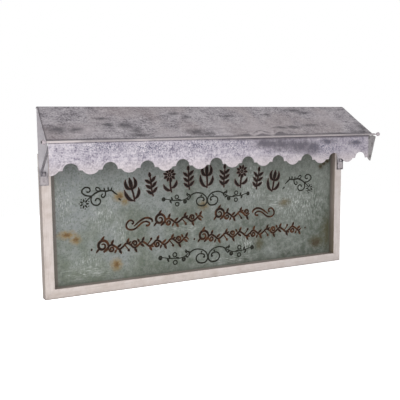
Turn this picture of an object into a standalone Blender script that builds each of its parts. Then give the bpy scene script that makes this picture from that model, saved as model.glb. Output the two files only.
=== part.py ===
# Florist's wall sign with a small zinc awning, as a Blender 4.5 model.
#
# X runs along the sign, Y points into the wall and Z is up, in metres. The origin is the
# middle of the top rail's back face. The wooden frame holds a painted sheet from behind.
# Two flat straps on the frame's front carry the awning, and two stays prop its front edge.

import math

import bmesh
import bpy
from mathutils import Matrix, Vector

# Clearance between pieces that touch
TOUCH_GAP = 0.0003

# Wooden frame
SIGN_WIDTH = 0.900
FRAME_HEIGHT = 0.351
MEMBER_FACE = 0.024
MEMBER_DEPTH = 0.024
EDGE_EASE = 0.0012
REBATE_WIDTH = 0.008

# Painted panel and the pins that hold it
PANEL_THICKNESS = 0.0008
PANEL_SIDE_CLEARANCE = 0.0005
PIN_HEAD_RADIUS = 0.0020
PIN_HEAD_THICKNESS = 0.0005
PIN_SHANK_RADIUS = 0.0006
PIN_LENGTH = 0.010
PIN_END_MARGIN = 0.040
PINS_PER_LONG_SIDE = 5
PINS_PER_SHORT_SIDE = 2

# V-nail across each mitre
V_NAIL_LEG = 0.007
V_NAIL_THICKNESS = 0.0005
V_NAIL_DEPTH = 0.008
V_NAIL_EDGE = 0.0025

# Awning roof: one sheet with a rolled back edge and a rolled front edge
SHEET_THICKNESS = 0.0008
AWNING_RISE = 0.1106
AWNING_REACH = 0.1216
ROOF_DROP = 0.0792
ROOF_BACK_OVERHANG = 0.002
ROOF_FRONT_OVERHANG = 0.0145
ROLL_SWEEP = math.radians(300)
ROLL_STEPS = 16
ROLL_CLEARANCE = 0.0011
ROLL_SETBACK = 0.0012

# Rods in the two rolls, and the ball finials
BACK_ROD_RADIUS = 0.0025
BACK_ROD_OVERHANG = 0.0015
FRONT_ROD_RADIUS = 0.0015
FRONT_ROD_OVERHANG = 0.0109
FRONT_ROD_SHIFT = 0.0034
BALL_RADIUS = 0.0055

# Scalloped valance
VALANCE_INSET = 0.0045
VALANCE_PERIODS = 10
VALANCE_DROP = 0.0741
VALANCE_FLANGE = 0.010
LOBE_WIDTH = 0.038
LOBE_DEPTH = 0.0098
SHOULDER_WIDTH = 0.009
NOTCH_HEIGHT = 0.0164

# Straps that carry the awning
STRAP_WIDTH = 0.0224
STRAP_THICKNESS = 0.002
STRAP_OVERHANG = 0.0044
STRAP_OVERLAP = 0.0745
STRAP_TAB = 0.014

# Stays from the straps' feet to the roof's front
STAY_WIDTH = 0.011
STAY_THICKNESS = 0.0015
STAY_INSET = 0.0037
STAY_TAB = 0.013
STAY_FOOT_RISE = 0.0275
STAY_TOP_SETBACK = 0.018

# Round-head wood screws in the straps
SCREW_SHANK_RADIUS = 0.0015
SCREW_HEAD_RADIUS = 0.0032
SCREW_HEAD_HEIGHT = 0.0018
SCREW_BITE = 0.013
SCREW_SLOT_WIDTH = 0.0008
SCREW_SLOT_DEPTH = 0.0008
LOWER_SCREW_RISE = 0.0095
UPPER_SCREW_DROP = 0.018

# Rivets through the roof
RIVET_SHANK_RADIUS = 0.0015
RIVET_HEAD_RADIUS = 0.003
RIVET_HEAD_HEIGHT = 0.0012

# Single-screw ring hangers on the back
HANGER_DROP = 0.030
HANGER_SHEET = 0.001
HANGER_CURL = math.radians(280)
HANGER_PLATE_WIDTH = 0.008
HANGER_PLATE_LENGTH = 0.010
HANGER_SCREW_DROP = 0.0062
HANGER_SCREW_RADIUS = 0.00125
HANGER_SCREW_HEAD_RADIUS = 0.0024
HANGER_SCREW_HEAD_HEIGHT = 0.0014
HANGER_SCREW_BITE = 0.010
RING_WIRE_RADIUS = 0.001
RING_BEND_RADIUS = 0.0015
RING_WIDTH = 0.014
RING_HEIGHT = 0.018

# Rubber bumpers on the back
BUMPER_RADIUS = 0.005
BUMPER_TOP_RADIUS = 0.0045
BUMPER_RISE = 0.032

# Facets round a turned piece, and how far a cutter runs past what it cuts
ROUND_STEPS = 16
PIN_STEPS = 8
BORE_OVERRUN = 0.002

# Places that follow from the sizes above
HALF_WIDTH = SIGN_WIDTH / 2
FRAME_TOP = MEMBER_FACE / 2
FRAME_BOTTOM = FRAME_TOP - FRAME_HEIGHT
FRAME_MIDDLE = (FRAME_TOP + FRAME_BOTTOM) / 2
BACK_LAND = MEMBER_FACE - REBATE_WIDTH
LAND_CENTRE = HALF_WIDTH - BACK_LAND / 2
REBATE_DEPTH = PANEL_THICKNESS + PIN_HEAD_THICKNESS + 3 * TOUCH_GAP
STRAP_OUTER = HALF_WIDTH + STRAP_OVERHANG
STRAP_CENTRE = STRAP_OUTER - STRAP_WIDTH / 2
STRAP_BACK = -(MEMBER_DEPTH + TOUCH_GAP)
STRAP_FRONT = STRAP_BACK - STRAP_THICKNESS
STRAP_BOTTOM = FRAME_TOP - STRAP_OVERLAP
STAY_OUTER = STRAP_OUTER - STAY_INSET
STAY_TAB_CENTRE = STAY_OUTER - STAY_THICKNESS - (STAY_TAB - STAY_THICKNESS) / 2
STAY_FOOT = STRAP_BOTTOM + STAY_FOOT_RISE
STAY_BACK = STRAP_FRONT - TOUCH_GAP
RING_CURL_INNER = RING_WIRE_RADIUS + TOUCH_GAP
RING_CURL_OUTER = RING_CURL_INNER + HANGER_SHEET
RING_AXIS_Y = TOUCH_GAP + RING_CURL_OUTER
RING_AXIS_Z = FRAME_TOP - HANGER_DROP

# The awning's rolls as points in Y and Z; the roof lies over the back one and under the front one
AWNING_TOP = FRAME_TOP + AWNING_RISE
ROOF_BACK_HALF = HALF_WIDTH + ROOF_BACK_OVERHANG
ROOF_FRONT_HALF = HALF_WIDTH + ROOF_FRONT_OVERHANG
VALANCE_HALF = ROOF_FRONT_HALF - VALANCE_INSET
VALANCE_FACE = -(MEMBER_DEPTH + AWNING_REACH)
BACK_ROLL_INNER = BACK_ROD_RADIUS + TOUCH_GAP
BACK_ROLL_OUTER = BACK_ROLL_INNER + SHEET_THICKNESS
BACK_ROLL = Vector((STRAP_BACK + ROLL_CLEARANCE + BACK_ROLL_OUTER, AWNING_TOP - BACK_ROLL_OUTER))
FRONT_ROLL_INNER = FRONT_ROD_RADIUS + TOUCH_GAP
FRONT_ROLL_OUTER = FRONT_ROLL_INNER + SHEET_THICKNESS
FRONT_ROLL = Vector((VALANCE_FACE + ROLL_SETBACK, AWNING_TOP - ROOF_DROP))
ROLL_SPAN = FRONT_ROLL - BACK_ROLL
SLOPE = math.atan2(-ROLL_SPAN.y, -ROLL_SPAN.x) + math.asin((BACK_ROLL_OUTER + FRONT_ROLL_INNER) / ROLL_SPAN.length)
DOWN_ROOF = Vector((-math.cos(SLOPE), -math.sin(SLOPE)))
OFF_ROOF = Vector((-math.sin(SLOPE), math.cos(SLOPE)))
ROOF_START = BACK_ROLL + OFF_ROOF * BACK_ROLL_OUTER
BELOW_SHEET = SHEET_THICKNESS + TOUCH_GAP


def finish(name, colour, roughness, metallic):
    material = bpy.data.materials.new(name)
    material.use_nodes = True
    shader = material.node_tree.nodes["Principled BSDF"]
    shader.inputs["Base Color"].default_value = (*colour, 1.0)
    shader.inputs["Roughness"].default_value = roughness
    shader.inputs["Metallic"].default_value = metallic
    return material


def mesh_from(bm, name, material=None):
    bmesh.ops.recalc_face_normals(bm, faces=bm.faces)
    mesh = bpy.data.meshes.new(name)
    bm.to_mesh(mesh)
    bm.free()
    if material:
        mesh.materials.append(material)
    return mesh


def add_object(name, data, place=None):
    made = bpy.data.objects.new(name, data)
    if place:
        made.matrix_world = place
    bpy.context.collection.objects.link(made)
    return made


def add_cutter(name, bm):
    cutter = add_object(name, mesh_from(bm, name))
    cutter.hide_render = True
    cutter.display_type = "WIRE"
    return cutter


def boolean(target, other, operation):
    modifier = target.modifiers.new(other.name, "BOOLEAN")
    modifier.operation = operation
    modifier.solver = "EXACT"
    modifier.object = other


def smooth(mesh):
    mesh.shade_smooth()
    mesh.set_sharp_from_angle(angle=math.radians(35))
    return mesh


def prism(bm, outline, start, end, to_space):
    """Adds a closed prism of a flat outline; start and end are its two levels, as functions of a point."""
    low = [bm.verts.new(to_space(a, b, start(a, b))) for a, b in outline]
    high = [bm.verts.new(to_space(a, b, end(a, b))) for a, b in outline]
    bm.faces.new(low)
    bm.faces.new(list(reversed(high)))
    for i in range(len(outline)):
        j = (i + 1) % len(outline)
        bm.faces.new((low[i], low[j], high[j], high[i]))


def slice_x(bm, outline, low, high):
    """Adds a prism of a Y and Z outline between two places along X."""
    prism(bm, outline, lambda a, b: low, lambda a, b: high, lambda a, b, c: (c, a, b))


def slice_y(bm, outline, low, high):
    """Adds a prism of an X and Z outline between two places along Y."""
    prism(bm, outline, lambda a, b: low, lambda a, b: high, lambda a, b, c: (a, c, b))


def box(bm, low, high):
    slice_y(bm, [(low[0], low[2]), (high[0], low[2]), (high[0], high[2]), (low[0], high[2])], low[1], high[1])


def turned(bm, profile, steps):
    """Adds a body turned about Z from (radius, height) points that start and end on the axis."""
    points = [bm.verts.new((radius, 0, height)) for radius, height in profile]
    edges = [bm.edges.new(pair) for pair in zip(points, points[1:])]
    bmesh.ops.spin(bm, geom=points + edges, cent=(0, 0, 0), axis=(0, 0, 1), angle=2 * math.pi,
                   steps=steps, use_merge=True)
    bmesh.ops.remove_doubles(bm, verts=bm.verts, dist=1e-6)


def aimed(origin, direction):
    """A place whose own Z axis points along a direction."""
    turn = Vector((0, 0, 1)).rotation_difference(Vector(direction))
    return Matrix.Translation(Vector(origin)) @ turn.to_matrix().to_4x4()


def rod(bm, start, direction, length, radius, steps=ROUND_STEPS):
    part = bmesh.new()
    turned(part, [(0, 0), (radius, 0), (radius, length), (0, length)], steps)
    bmesh.ops.recalc_face_normals(part, faces=part.faces)
    mesh = bpy.data.meshes.new("rod")
    part.to_mesh(mesh)
    part.free()
    mesh.transform(aimed(start, direction))
    bm.from_mesh(mesh)
    bpy.data.meshes.remove(mesh)


def bore_radius(shank_radius, steps):
    """Radius of a faceted bore whose flats clear a round shank."""
    return (shank_radius + TOUCH_GAP) / math.cos(math.pi / steps)


def arc(centre, across, up, start, end, steps):
    """Points along an ellipse's arc, with its half-sizes across and up and its angles in radians."""
    points = []
    for i in range(steps + 1):
        angle = start + (end - start) * i / steps
        points.append((centre[0] + across * math.cos(angle), centre[1] + up * math.sin(angle)))
    return points


def flat(points):
    return [(point.x, point.y) for point in points]


# Wooden frame

def member_section():
    """Section of a frame member: distance in from its outer edge, and depth from its back."""
    front = MEMBER_DEPTH - EDGE_EASE
    section = [(0, 0), (BACK_LAND, 0), (BACK_LAND, REBATE_DEPTH), (MEMBER_FACE, REBATE_DEPTH)]
    section += arc((MEMBER_FACE - EDGE_EASE, front), EDGE_EASE, EDGE_EASE, 0, math.pi / 2, 3)
    section += arc((EDGE_EASE, front), EDGE_EASE, EDGE_EASE, math.pi / 2, math.pi, 3)
    return section


def add_member(name, edge, run, inward, length, paint):
    """A mitred member about the middle of its outer back edge; its ends stop half a gap short."""
    run = Vector(run)
    inward = Vector(inward)
    end_gap = TOUCH_GAP / math.sqrt(2)

    def to_space(across, depth, reach):
        return run * reach + inward * across + Vector((0, -depth, 0))

    bm = bmesh.new()
    prism(bm, member_section(), lambda across, depth: across + end_gap - length / 2,
          lambda across, depth: length / 2 - across - end_gap, to_space)
    return add_object(name, mesh_from(bm, name, paint), Matrix.Translation(Vector(edge)))


def add_frame():
    paint = finish("whitewashed_fir", (0.70, 0.64, 0.60), 0.75, 0.0)
    rails = [
        add_member("top_rail", (0, 0, FRAME_TOP), (1, 0, 0), (0, 0, -1), SIGN_WIDTH, paint),
        add_member("bottom_rail", (0, 0, FRAME_BOTTOM), (1, 0, 0), (0, 0, 1), SIGN_WIDTH, paint),
    ]
    stiles = [
        add_member("left_stile", (-HALF_WIDTH, 0, FRAME_MIDDLE), (0, 0, 1), (1, 0, 0), FRAME_HEIGHT, paint),
        add_member("right_stile", (HALF_WIDTH, 0, FRAME_MIDDLE), (0, 0, 1), (-1, 0, 0), FRAME_HEIGHT, paint),
    ]
    return rails, stiles


def v_nail_outline(leg, thickness):
    """Two legs that meet at a right angle at the origin and run along -X and -Z."""
    half = thickness / 2
    return [(half, half), (-leg, half), (-leg, -half), (-half, -half), (-half, -leg), (half, -leg)]


def add_v_nails(members):
    """One V-nail across the back of each mitre, its legs square to the two members."""
    steel = finish("v_nail_steel", (0.45, 0.45, 0.46), 0.4, 1.0)
    inward = V_NAIL_EDGE + V_NAIL_LEG
    slots = bmesh.new()
    for rail, up, edge in (("top", 1, FRAME_TOP), ("bottom", -1, FRAME_BOTTOM)):
        for side_name, side in (("left", -1), ("right", 1)):
            name = f"{rail}_{side_name}_v_nail"
            apex = Vector((side * (HALF_WIDTH - inward), 0, edge - up * inward))
            nail = [(-side * a, -up * b) for a, b in v_nail_outline(V_NAIL_LEG, V_NAIL_THICKNESS)]
            wide = v_nail_outline(V_NAIL_LEG + TOUCH_GAP, V_NAIL_THICKNESS + 2 * TOUCH_GAP)
            slot = [(apex.x - side * a, apex.z - up * b) for a, b in wide]
            bm = bmesh.new()
            slice_y(bm, nail, -V_NAIL_DEPTH, -TOUCH_GAP)
            slice_y(slots, slot, -V_NAIL_DEPTH - TOUCH_GAP, BORE_OVERRUN)
            add_object(name, mesh_from(bm, name, steel), Matrix.Translation(apex))
    cutter = add_cutter("v_nail_slots", slots)
    for member in members:
        boolean(member, cutter, "DIFFERENCE")


# Painted panel

def spaced(half, count):
    return [-half + 2 * half * i / (count - 1) for i in range(count)]


def pin_places():
    """Name, X and Z of every panel pin, in the middle of the rebate on all four sides."""
    inset = BACK_LAND + REBATE_WIDTH / 2
    half_x = HALF_WIDTH - inset
    half_z = FRAME_HEIGHT / 2 - inset
    places = []
    for i, x in enumerate(spaced(half_x - PIN_END_MARGIN, PINS_PER_LONG_SIDE)):
        places.append((f"top_pin_{i + 1}", x, FRAME_MIDDLE + half_z))
        places.append((f"bottom_pin_{i + 1}", x, FRAME_MIDDLE - half_z))
    for i, z in enumerate(spaced(half_z - PIN_END_MARGIN, PINS_PER_SHORT_SIDE)):
        places.append((f"left_pin_{i + 1}", -half_x, FRAME_MIDDLE + z))
        places.append((f"right_pin_{i + 1}", half_x, FRAME_MIDDLE + z))
    return places


def add_panel(members):
    """The painted sheet in the rebate, and the pins driven through it into the wood in front."""
    reach = BACK_LAND + PANEL_SIDE_CLEARANCE
    half_x = HALF_WIDTH - reach
    half_z = FRAME_HEIGHT / 2 - reach
    front = TOUCH_GAP - REBATE_DEPTH
    back = front + PANEL_THICKNESS
    bm = bmesh.new()
    box(bm, (-half_x, front, -half_z), (half_x, back, half_z))
    paint = finish("painted_panel", (0.24, 0.29, 0.26), 0.5, 0.0)
    panel = add_object("sign_panel", mesh_from(bm, "sign_panel", paint), Matrix.Translation((0, 0, FRAME_MIDDLE)))

    seat = back + TOUCH_GAP
    length = seat + REBATE_DEPTH + PIN_LENGTH
    profile = [(0, PIN_HEAD_THICKNESS), (PIN_HEAD_RADIUS, PIN_HEAD_THICKNESS), (PIN_HEAD_RADIUS, 0),
               (PIN_SHANK_RADIUS, 0), (PIN_SHANK_RADIUS, PIN_SHANK_RADIUS - length), (0, -length)]
    bm = bmesh.new()
    turned(bm, profile, PIN_STEPS)
    pin = smooth(mesh_from(bm, "panel_pin", finish("pin_steel", (0.40, 0.38, 0.36), 0.5, 1.0)))
    bores = bmesh.new()
    for name, x, z in pin_places():
        add_object(name, pin, aimed((x, seat, z), (0, 1, 0)))
        rod(bores, (x, BORE_OVERRUN, z), (0, -1, 0), BORE_OVERRUN + REBATE_DEPTH + PIN_LENGTH + TOUCH_GAP,
            bore_radius(PIN_SHANK_RADIUS, PIN_STEPS), PIN_STEPS)
    cutter = add_cutter("pin_bores", bores)
    for target in members + [panel]:
        boolean(target, cutter, "DIFFERENCE")


# Awning, whose sections lie in Y and Z

def under_roof(y, below):
    """The point at a given Y that lies a given distance below the roof's top face."""
    along = (y - ROOF_START.x + OFF_ROOF.x * below) / DOWN_ROOF.x
    return ROOF_START + DOWN_ROOF * along - OFF_ROOF * below


def rolled(centre, first, second, radius):
    """Points round a roll, from one direction towards a second that is square to it."""
    points = []
    for i in range(ROLL_STEPS + 1):
        turn = ROLL_SWEEP * i / ROLL_STEPS
        points.append(centre + radius * (first * math.cos(turn) + second * math.sin(turn)))
    return points


def roof_section():
    """The sheet's section: outside of the back roll, top face, front roll, underside."""
    section = list(reversed(rolled(BACK_ROLL, OFF_ROOF, -DOWN_ROOF, BACK_ROLL_OUTER)))
    section += rolled(FRONT_ROLL, -OFF_ROOF, DOWN_ROOF, FRONT_ROLL_INNER)
    section += reversed(rolled(FRONT_ROLL, -OFF_ROOF, DOWN_ROOF, FRONT_ROLL_OUTER))
    section += rolled(BACK_ROLL, OFF_ROOF, -DOWN_ROOF, BACK_ROLL_INNER)
    return flat(section)


def roof_half_width(y, z):
    """Half the roof's width, which grows a little towards the front edge."""
    share = (BACK_ROLL.x - y) / (BACK_ROLL.x - FRONT_ROLL.x)
    return ROOF_BACK_HALF + (ROOF_FRONT_HALF - ROOF_BACK_HALF) * share


def add_roof():
    bm = bmesh.new()
    prism(bm, roof_section(), lambda y, z: -roof_half_width(y, z), roof_half_width, lambda a, b, c: (c, a, b))
    zinc = finish("limewashed_zinc", (0.36, 0.33, 0.35), 0.6, 0.6)
    return add_object("awning_roof", smooth(mesh_from(bm, "awning_roof", zinc)))


def scallop_edge():
    """The valance's lower edge from left to right: round lobes, flat shoulders, arched notches."""
    period = 2 * VALANCE_HALF / VALANCE_PERIODS
    tip = FRONT_ROLL.y - VALANCE_DROP
    half_lobe = LOBE_WIDTH / 2
    half_notch = period / 2 - half_lobe - SHOULDER_WIDTH
    radius = (half_lobe ** 2 + LOBE_DEPTH ** 2) / (2 * LOBE_DEPTH)
    lobe_turn = math.asin(half_lobe / radius)
    down = -math.pi / 2
    edge = [(-VALANCE_HALF, tip)]
    for i in range(VALANCE_PERIODS):
        left = period * i - VALANCE_HALF
        edge += arc((left, tip + radius), radius, radius, down, down + lobe_turn, 6)[1:]
        edge += arc((left + period / 2, tip + LOBE_DEPTH), half_notch, NOTCH_HEIGHT, math.pi, 0, 12)
        edge += arc((left + period, tip + radius), radius, radius, down - lobe_turn, down, 6)
    return edge


def add_valance():
    """A sheet with a scalloped lower edge, and a flange bent back under the roof."""
    half = VALANCE_HALF
    inset = SHEET_THICKNESS / 4
    front = under_roof(VALANCE_FACE + inset, BELOW_SHEET)
    back = front - DOWN_ROOF * VALANCE_FLANGE
    top = (front - OFF_ROOF * SHEET_THICKNESS / 2).y
    plate = bmesh.new()
    slice_y(plate, scallop_edge() + [(half, top), (-half, top)], VALANCE_FACE, VALANCE_FACE + SHEET_THICKNESS)
    zinc = finish("limewashed_valance", (0.56, 0.52, 0.56), 0.65, 0.4)
    valance = add_object("awning_valance", mesh_from(plate, "awning_valance", zinc))
    lower = [point - OFF_ROOF * SHEET_THICKNESS for point in (back, front)]
    flange = bmesh.new()
    slice_x(flange, flat([front, back] + lower), inset - half, half - inset)
    boolean(valance, add_cutter("valance_flange", flange), "UNION")


# Rods and finials

def ball_profile():
    """A ball turned about Z, with a blind bore from below that grips the rod's end."""
    bore = bore_radius(FRONT_ROD_RADIUS, ROUND_STEPS)
    mouth = math.asin(bore / BALL_RADIUS) - math.pi / 2
    skin = arc((0, 0), BALL_RADIUS, BALL_RADIUS, math.pi / 2, mouth, 10)
    return [(0, BALL_RADIUS)] + skin[1:] + [(bore, TOUCH_GAP), (0, TOUCH_GAP)]


def add_rods():
    iron = finish("dark_rod", (0.16, 0.15, 0.15), 0.45, 0.9)
    length = 2 * (ROOF_BACK_HALF + BACK_ROD_OVERHANG)
    bm = bmesh.new()
    rod(bm, (-length / 2, 0, 0), (1, 0, 0), length, BACK_ROD_RADIUS)
    add_object("back_rod", smooth(mesh_from(bm, "back_rod", iron)), Matrix.Translation((0, *BACK_ROLL)))

    axis = add_object("front_rod_axis", None, Matrix.Translation((FRONT_ROD_SHIFT, *FRONT_ROLL)))
    half = ROOF_FRONT_HALF + FRONT_ROD_OVERHANG
    bm = bmesh.new()
    rod(bm, (-half, 0, 0), (1, 0, 0), 2 * half, FRONT_ROD_RADIUS)
    front_rod = add_object("front_rod", smooth(mesh_from(bm, "front_rod", iron)))
    front_rod.parent = axis
    bm = bmesh.new()
    turned(bm, ball_profile(), ROUND_STEPS)
    ball = smooth(mesh_from(bm, "ball_finial", iron))
    for name, side in (("left_ball_finial", -1), ("right_ball_finial", 1)):
        finial = add_object(name, ball, aimed((side * half, 0, 0), (side, 0, 0)))
        finial.parent = axis


# Straps and stays

def strap_section():
    """An upright plate with a tab bent forward under the roof."""
    corner = under_roof(STRAP_BACK, BELOW_SHEET)
    tab_end = corner + DOWN_ROOF * STRAP_TAB
    tab_low = tab_end - OFF_ROOF * STRAP_THICKNESS
    inner = under_roof(STRAP_FRONT, BELOW_SHEET + STRAP_THICKNESS)
    foot_back = Vector((STRAP_BACK, STRAP_BOTTOM))
    foot_front = Vector((STRAP_FRONT, STRAP_BOTTOM))
    return flat([foot_back, corner, tab_end, tab_low, inner, foot_front])


def stay_top():
    """The middle of the stay's top tab, on its upper face."""
    return under_roof(VALANCE_FACE + STAY_TOP_SETBACK, BELOW_SHEET)


def stay_strip_section():
    """The stay's sloping strip, whose ends stop just inside its foot tab and its top tab."""
    foot = Vector((STAY_BACK, STAY_FOOT))
    top = stay_top()
    run = (top - foot).normalized()
    side = Vector((-run.y, run.x))
    half = STAY_WIDTH / 2
    inset = STAY_THICKNESS / 10
    section = []
    for across in (half, -half):
        section.append(foot + side * across - run * (side.x * across + inset) / run.x)
    for across in (-half, half):
        section.append(top + side * across - run * (OFF_ROOF.dot(side) * across + inset) / OFF_ROOF.dot(run))
    return flat(section)


def add_stay(name, side, zinc):
    """A flat strip on edge, with a foot tab on the strap and a top tab under the roof."""
    outer = STAY_OUTER
    inner = STAY_OUTER - STAY_THICKNESS
    strip = bmesh.new()
    slice_x(strip, stay_strip_section(), side * inner, side * outer)
    stay = add_object(name, mesh_from(strip, name, zinc))

    half = STAY_WIDTH / 2
    root = side * (outer + inner) / 2
    tip = side * (STAY_OUTER - STAY_TAB)
    foot = bmesh.new()
    box(foot, (root, STAY_BACK - STAY_THICKNESS, STAY_FOOT - half), (tip, STAY_BACK, STAY_FOOT + half))
    boolean(stay, add_cutter(name + "_foot", foot), "UNION")

    upper = [stay_top() - DOWN_ROOF * half, stay_top() + DOWN_ROOF * half]
    lower = [point - OFF_ROOF * STAY_THICKNESS for point in reversed(upper)]
    tab = bmesh.new()
    slice_x(tab, flat(upper + lower), root, tip)
    boolean(stay, add_cutter(name + "_tab", tab), "UNION")
    return stay


def add_brackets(roof):
    zinc = finish("limewashed_strap", (0.55, 0.52, 0.54), 0.6, 0.5)
    straps = []
    stays = []
    for side_name, side in (("left", -1), ("right", 1)):
        bm = bmesh.new()
        slice_x(bm, strap_section(), side * (STRAP_OUTER - STRAP_WIDTH), side * STRAP_OUTER)
        name = side_name + "_strap"
        straps.append(add_object(name, mesh_from(bm, name, zinc)))
        stays.append(add_stay(side_name + "_stay", side, zinc))
    bend = STRAP_THICKNESS * (1 + math.sin(SLOPE)) / math.cos(SLOPE)
    on_roof = under_roof(STRAP_BACK, BELOW_SHEET) + OFF_ROOF * BELOW_SHEET
    strap_at = on_roof + DOWN_ROOF * (STRAP_TAB + bend) / 2
    stay_at = stay_top() + OFF_ROOF * BELOW_SHEET
    steel = finish("rivet_steel", (0.34, 0.32, 0.33), 0.5, 0.8)
    add_rivets("strap_rivet", strap_at, STRAP_CENTRE, STRAP_THICKNESS, steel, straps + [roof])
    add_rivets("stay_rivet", stay_at, STAY_TAB_CENTRE, STAY_THICKNESS, steel, stays + [roof])
    return straps, stays


def add_rivets(name, at, reach, tab_thickness, steel, targets):
    """A pair of rivets square to the roof, through the sheet and the tab below it."""
    seat = TOUCH_GAP
    low_seat = -(BELOW_SHEET + tab_thickness + TOUCH_GAP)
    low = low_seat - RIVET_HEAD_HEIGHT
    dome = arc((0, seat), RIVET_HEAD_RADIUS, RIVET_HEAD_HEIGHT, 0, math.pi / 2, 4)
    profile = [(0, low), (RIVET_HEAD_RADIUS, low + RIVET_HEAD_HEIGHT / 3), (RIVET_HEAD_RADIUS, low_seat),
               (RIVET_SHANK_RADIUS, low_seat), (RIVET_SHANK_RADIUS, seat)]
    profile += dome[:-1] + [(0, seat + RIVET_HEAD_HEIGHT)]
    bm = bmesh.new()
    turned(bm, profile, ROUND_STEPS)
    rivet = smooth(mesh_from(bm, name, steel))
    normal = Vector((0, *OFF_ROOF))
    bores = bmesh.new()
    for side_name, side in (("left", -1), ("right", 1)):
        centre = Vector((side * reach, *at))
        add_object(f"{side_name}_{name}", rivet, aimed(centre, normal))
        rod(bores, centre + normal * (low_seat - BORE_OVERRUN), normal, seat - low_seat + 2 * BORE_OVERRUN,
            bore_radius(RIVET_SHANK_RADIUS, ROUND_STEPS))
    cutter = add_cutter(name + "_bores", bores)
    for target in targets:
        boolean(target, cutter, "DIFFERENCE")


# Screws

def screw_mesh(name, head_radius, head_height, shank_radius, length, steel):
    """A slotted round-head screw about Z, with its head's seat at the origin."""
    dome = arc((0, 0), head_radius, head_height, math.pi / 2, 0, 5)
    profile = [(0, head_height)] + dome[1:] + [(shank_radius, 0), (shank_radius, 2 * shank_radius - length),
                                               (0, -length)]
    bm = bmesh.new()
    turned(bm, profile, ROUND_STEPS)
    blank = add_object(name + "_blank", mesh_from(bm, name, steel))
    reach = head_radius + BORE_OVERRUN
    half = SCREW_SLOT_WIDTH / 2
    slot = bmesh.new()
    box(slot, (-reach, -half, head_height - SCREW_SLOT_DEPTH), (reach, half, head_height + SCREW_SLOT_DEPTH))
    cutter = add_cutter(name + "_slot", slot)
    boolean(blank, cutter, "DIFFERENCE")
    cut = blank.evaluated_get(bpy.context.evaluated_depsgraph_get())
    mesh = bpy.data.meshes.new_from_object(cut)
    mesh.name = name
    bpy.data.objects.remove(blank)
    bpy.data.objects.remove(cutter)
    return smooth(mesh)


def add_strap_screws(stiles, straps, stays):
    """Two screws through each strap into its stile, and one more through each stay's foot tab."""
    steel = finish("aged_screw_steel", (0.30, 0.27, 0.26), 0.5, 0.8)
    strap_seat = STRAP_FRONT - TOUCH_GAP
    stay_seat = STAY_BACK - STAY_THICKNESS - TOUCH_GAP
    kinds = (("lower_strap_screw", STRAP_CENTRE, strap_seat, STRAP_BOTTOM + LOWER_SCREW_RISE),
             ("upper_strap_screw", STRAP_CENTRE, strap_seat, FRAME_TOP - UPPER_SCREW_DROP),
             ("stay_screw", STAY_TAB_CENTRE, stay_seat, STAY_FOOT))
    bores = bmesh.new()
    for name, reach, seat, z in kinds:
        length = SCREW_BITE - MEMBER_DEPTH - seat
        screw = screw_mesh(name, SCREW_HEAD_RADIUS, SCREW_HEAD_HEIGHT, SCREW_SHANK_RADIUS, length, steel)
        for side_name, side in (("left", -1), ("right", 1)):
            add_object(f"{side_name}_{name}", screw, aimed((side * reach, seat, z), (0, -1, 0)))
            rod(bores, (side * reach, seat - BORE_OVERRUN, z), (0, 1, 0), length + BORE_OVERRUN + TOUCH_GAP,
                bore_radius(SCREW_SHANK_RADIUS, ROUND_STEPS))
    cutter = add_cutter("strap_screw_bores", bores)
    for target in stiles + straps + stays:
        boolean(target, cutter, "DIFFERENCE")


# Hangers and bumpers on the back

def hanger_section():
    """A flat plate whose top is curled round the ring's bar, about the bar's axis."""
    front = -RING_CURL_OUTER
    section = [(front, -HANGER_PLATE_LENGTH)]
    section += arc((0, 0), RING_CURL_OUTER, RING_CURL_OUTER, math.pi, math.pi - HANGER_CURL, ROUND_STEPS)
    section += arc((0, 0), RING_CURL_INNER, RING_CURL_INNER, math.pi - HANGER_CURL, math.pi, ROUND_STEPS)
    section.append((front + HANGER_SHEET, -HANGER_PLATE_LENGTH))
    return section


def ring_curve(zinc):
    """The ring's wire about its bar: the bar along X, two legs and a round bow below."""
    half = RING_WIDTH / 2
    bend = RING_BEND_RADIUS
    path = arc((half - bend, -bend), bend, bend, math.pi / 2, 0, 3)
    path += arc((0, half - RING_HEIGHT), half, half, 0, -math.pi, 12)
    path += arc((bend - half, -bend), bend, bend, math.pi, math.pi / 2, 3)
    curve = bpy.data.curves.new("hanger_ring", "CURVE")
    curve.dimensions = "3D"
    curve.bevel_depth = RING_WIRE_RADIUS
    curve.bevel_resolution = 2
    spline = curve.splines.new("POLY")
    spline.points.add(len(path) - 1)
    spline.use_cyclic_u = True
    for point, (x, z) in zip(spline.points, path):
        point.co = (x, 0, z, 1)
    curve.materials.append(zinc)
    return curve


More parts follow.
